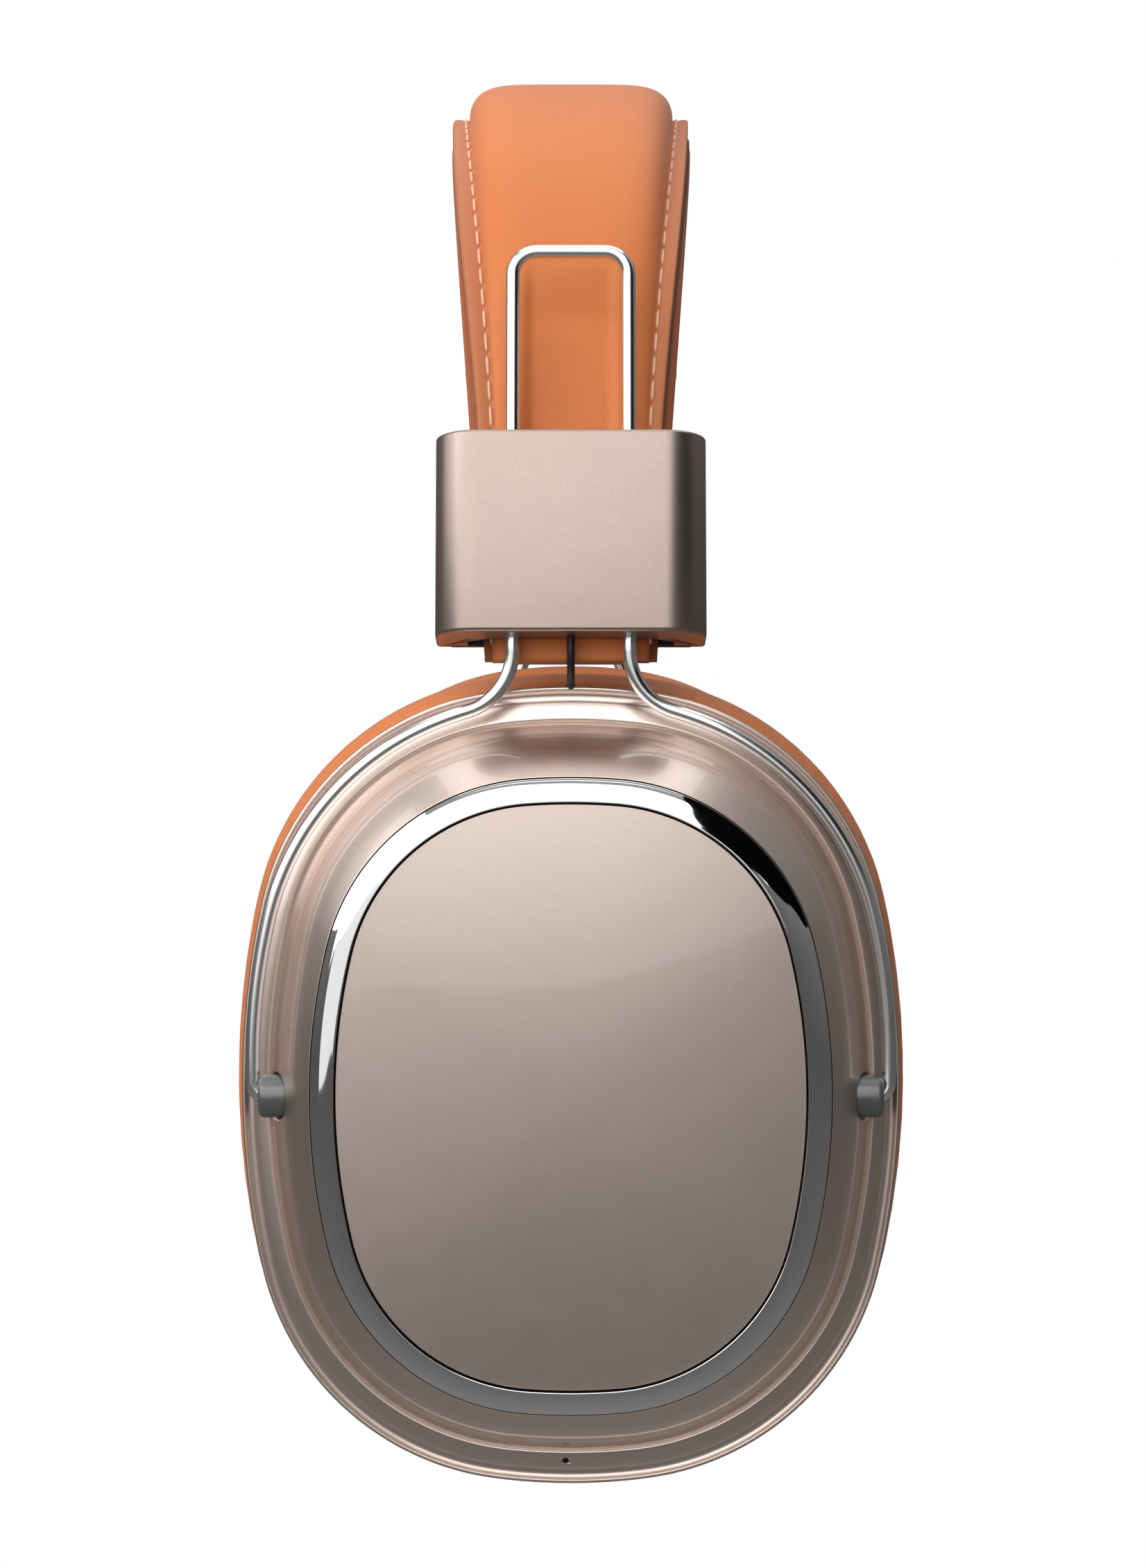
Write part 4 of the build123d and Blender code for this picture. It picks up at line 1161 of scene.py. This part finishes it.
# %% Ear cushions
PAD_OUT = [(0.0, -1.4, -7.4), (0.0, 0.0, -7.35), (0.0, 0.8, -8.2), (0.0, 1.2, -10.0), (0.0, 1.45, -13.0),
           (0.0, 1.5, -16.5), (0.0, 1.15, -20.0), (0.0, 0.3, -23.0), (0.0, -1.5, -25.4), (0.08, -2.7, -26.7),
           (0.28, -2.0, -27.3), (0.5, 0.0, -27.4), (0.74, 0.0, -27.1), (0.9, 0.0, -26.2), (0.99, 0.0, -24.4),
           (1.02, 0.0, -21.0), (1.0, 0.0, -16.0), (0.99, 0.0, -11.0), (0.94, 0.0, -9.9)]


def pad_grid():
    """The ear cushion's surface, from the rim's oval to the ear hollow's."""
    section = soft(PAD_OUT, 110)
    back = np.array([(0.5, 0.0, -9.9), (0.08, -1.5, -9.85)])
    section = np.vstack([section, back])
    sizes = [between(share, RIM, EAR) + margin for share, margin, _ in section]
    return cup_rings(sizes, section[:, 2])


# %% Seams of the ear cushions
SEAM_BACK, SEAM_FRONT = -9.4, -24.2  # heights of the two seams round the outer roll


def pad_seams(points):
    """A fine valley along each seam, and small gathers that fade away from it."""
    height = np.abs(points[:, 0]) - RIM_X
    y, z = points[:, 1], points[:, 2] - CUP_Z
    turn = np.arctan2(z / RIM[1], y / RIM[0])
    outer = smooth_step((np.hypot(y / RIM[0], z / RIM[1]) - 0.86) / 0.06)
    depth = np.zeros(len(points))
    for seam in (SEAM_BACK, SEAM_FRONT):
        away = np.abs(height - seam)
        gathers = 0.5 + 0.5 * np.sin(turn * 61 + 1.7 * np.sin(turn * 7) + 0.8 * np.sin(turn * 17))
        depth += 0.34 * np.exp(-((away / 0.55) ** 2)) + 0.10 * gathers * np.exp(-((away / 2.2) ** 2))
    return depth * outer


for side, word in SIDES:
    pad = closed_grid(f"ear_pad_{word}", mirrored(pad_grid(), side), TAN)
    filled(pad, 0.7, lambda points: np.abs(points[:, 0]) > RIM_X - 9.0)
    dent(pad, pad_seams)
    settle(pad, f"cup_{word}", "tan_leather", f"ear_cushion_{word}")

# %% [markdown]
# ## Finishes for the frame's own pieces
# What the frame already has in its right shape keeps its shape and gets a finish.

# %% Finishes of the remaining nodes
NODE_FINISH = {
    "spring_band": STEEL, "headband_cable": RUBBER,
    "sleeve_screws": STEEL, "sleeve_back": BLACK, "slider_guide": BLACK, "pivot_bushes": LACQUER,
    "baffle": BLACK, "baffle_screws": STEEL, "cushion_mount": BLACK, "ear_mesh": CLOTH,
    "driver_basket": BLACK, "driver_diaphragm": FILM, "driver_magnet": STEEL, "acoustic_foam": FOAM,
    "aux_jack": BLACK, "usb_port": STEEL, "microphone": BLACK, "status_light": LENS, "circuit_board": BOARD,
    "battery": WRAP, "battery_tray": BLACK, "power_button": LACQUER, "volume_up_button": LACQUER,
    "volume_down_button": LACQUER,
}
for name, node in frame["nodes"].items():
    plain = name.removesuffix("_left").removesuffix("_right")
    if plain in NODE_FINISH:
        node.data.materials.clear()
        node.data.materials.append(NODE_FINISH[plain])
print("finishes for", len(NODE_FINISH), "kinds of node")

# %% [markdown]
# ## Studio
# A white room. Shiny metal shows its surroundings, so they are laid out first: one very large soft panel in
# front and above, whose lower edge slopes and crosses the face plate; a second one high on the left, which
# whitens that side of the chrome; one overhead for the dome; and a black card on the upper right. A fill that
# mirrors don't see lifts the leather. Each panel is given by its direction and its brightness, because a
# mirror shows brightness, whatever the panel's size.

# %% Panels
from mathutils import Matrix, Vector

CENTRE = Vector((0.07, 0.0, -0.09))


def towards(azimuth, elevation, distance):
    """The point at a distance from the middle: azimuth 0 is +X, turning to +Y; elevation is upwards."""
    a, e = math.radians(azimuth), math.radians(elevation)
    return CENTRE + distance * Vector((math.cos(e) * math.cos(a), math.cos(e) * math.sin(a), math.sin(e)))


def facing(azimuth, elevation, distance, roll=0.0):
    """A placement at that point whose -Z looks at the middle, turned about its own axis by roll."""
    place = towards(azimuth, elevation, distance)
    turn = (CENTRE - place).to_track_quat("-Z", "Y").to_matrix().to_4x4()
    return Matrix.Translation(place) @ turn @ Matrix.Rotation(math.radians(roll), 4, "Z")


def panel(name, where, width, height, brightness, mirrored=True):
    """A rectangular soft light. Its power is brightness x pi x area."""
    data = bpy.data.lights.new(name, "AREA")
    data.shape, data.size, data.size_y = "RECTANGLE", width, height
    data.energy = brightness * math.pi * width * height
    light = bpy.data.objects.new(name, data)
    light.matrix_world = where
    light.visible_glossy = mirrored
    bpy.context.scene.collection.objects.link(light)
    print(name, round(data.energy, 1), "W")


panel("front_panel", facing(-19, 36.5, 1.3, 6.3), 2.6, 1.3, 1.72)
panel("low_panel", facing(-16, 3.1, 1.3, 6.3), 1.75, 0.33, 0.78)
panel("left_panel", facing(-84, 33, 1.2), 0.9, 0.9, 1.35)
panel("top_panel", facing(180, 76, 0.9), 0.9, 0.9, 1.1)
panel("leather_fill", facing(-60, 25, 1.2), 1.0, 1.0, 0.62, mirrored=False)
panel("back_fill", facing(180, 20, 1.3), 1.2, 1.0, 0.8, mirrored=False)

# %% [markdown]
# The room behind the panels is a soft gradient, dim at the horizon. Only the camera sees it as plain white,
# so the metal keeps its contrast on a white ground.

# %% The room's own light
world = bpy.data.worlds.new("studio")
bpy.context.scene.world = world
world.use_nodes = True
tree = world.node_tree
kinds = ("TexCoord", "SeparateXYZ", "ValToRGB", "Background", "LightPath", "MixShader", "MapRange")
direction, parts, ramp, white, rays, mix, shifted = (tree.nodes.new("ShaderNode" + kind) for kind in kinds)
room = tree.nodes["Background"]
shifted.inputs["From Min"].default_value = -1.0
white.inputs["Color"].default_value = (1, 1, 1, 1)
ramp.color_ramp.elements[0].color = (0.20, 0.195, 0.19, 1)
ramp.color_ramp.elements[1].color = (0.36, 0.355, 0.35, 1)
middle = ramp.color_ramp.elements.new(0.47)
middle.color = (0.085, 0.083, 0.08, 1)
for source, socket in ((direction.outputs["Generated"], parts.inputs[0]),
                       (parts.outputs["Z"], shifted.inputs["Value"]),
                       (shifted.outputs[0], ramp.inputs[0]),
                       (ramp.outputs[0], room.inputs["Color"]),
                       (rays.outputs["Is Camera Ray"], mix.inputs[0]),
                       (room.outputs[0], mix.inputs[1]),
                       (white.outputs[0], mix.inputs[2]),
                       (mix.outputs[0], tree.nodes["World Output"].inputs["Surface"])):
    tree.links.new(source, socket)
print("world nodes:", len(tree.nodes))


# %% Floor and black card
def flat_sheet(name, corners, material):
    """A flat sheet of the stage, from its corners."""
    mesh = bpy.data.meshes.new(name)
    mesh.from_pydata(corners, [], [tuple(range(len(corners)))])
    mesh.materials.append(material)
    sheet = bpy.data.objects.new(name, mesh)
    bpy.context.scene.collection.objects.link(sheet)
    return sheet


FLOOR_Z, FLOOR_HALF = -0.42, 0.28
pale = moulded("pale_floor", (0.62, 0.61, 0.60), 0.9)
floor = flat_sheet("floor", [(x * FLOOR_HALF, y * FLOOR_HALF, FLOOR_Z) for x, y in
                             ((-1, -1), (1, -1), (1, 1), (-1, 1))], pale)
floor.visible_glossy = False
velvet = moulded("black_velvet", (0.004, 0.004, 0.004), 1.0, Specular_IOR_Level=0.0)
card = flat_sheet("black_card", [towards(11, 9, 0.8), towards(88, 12, 0.8), towards(70, 64, 0.8)], velvet)
card.visible_camera = False
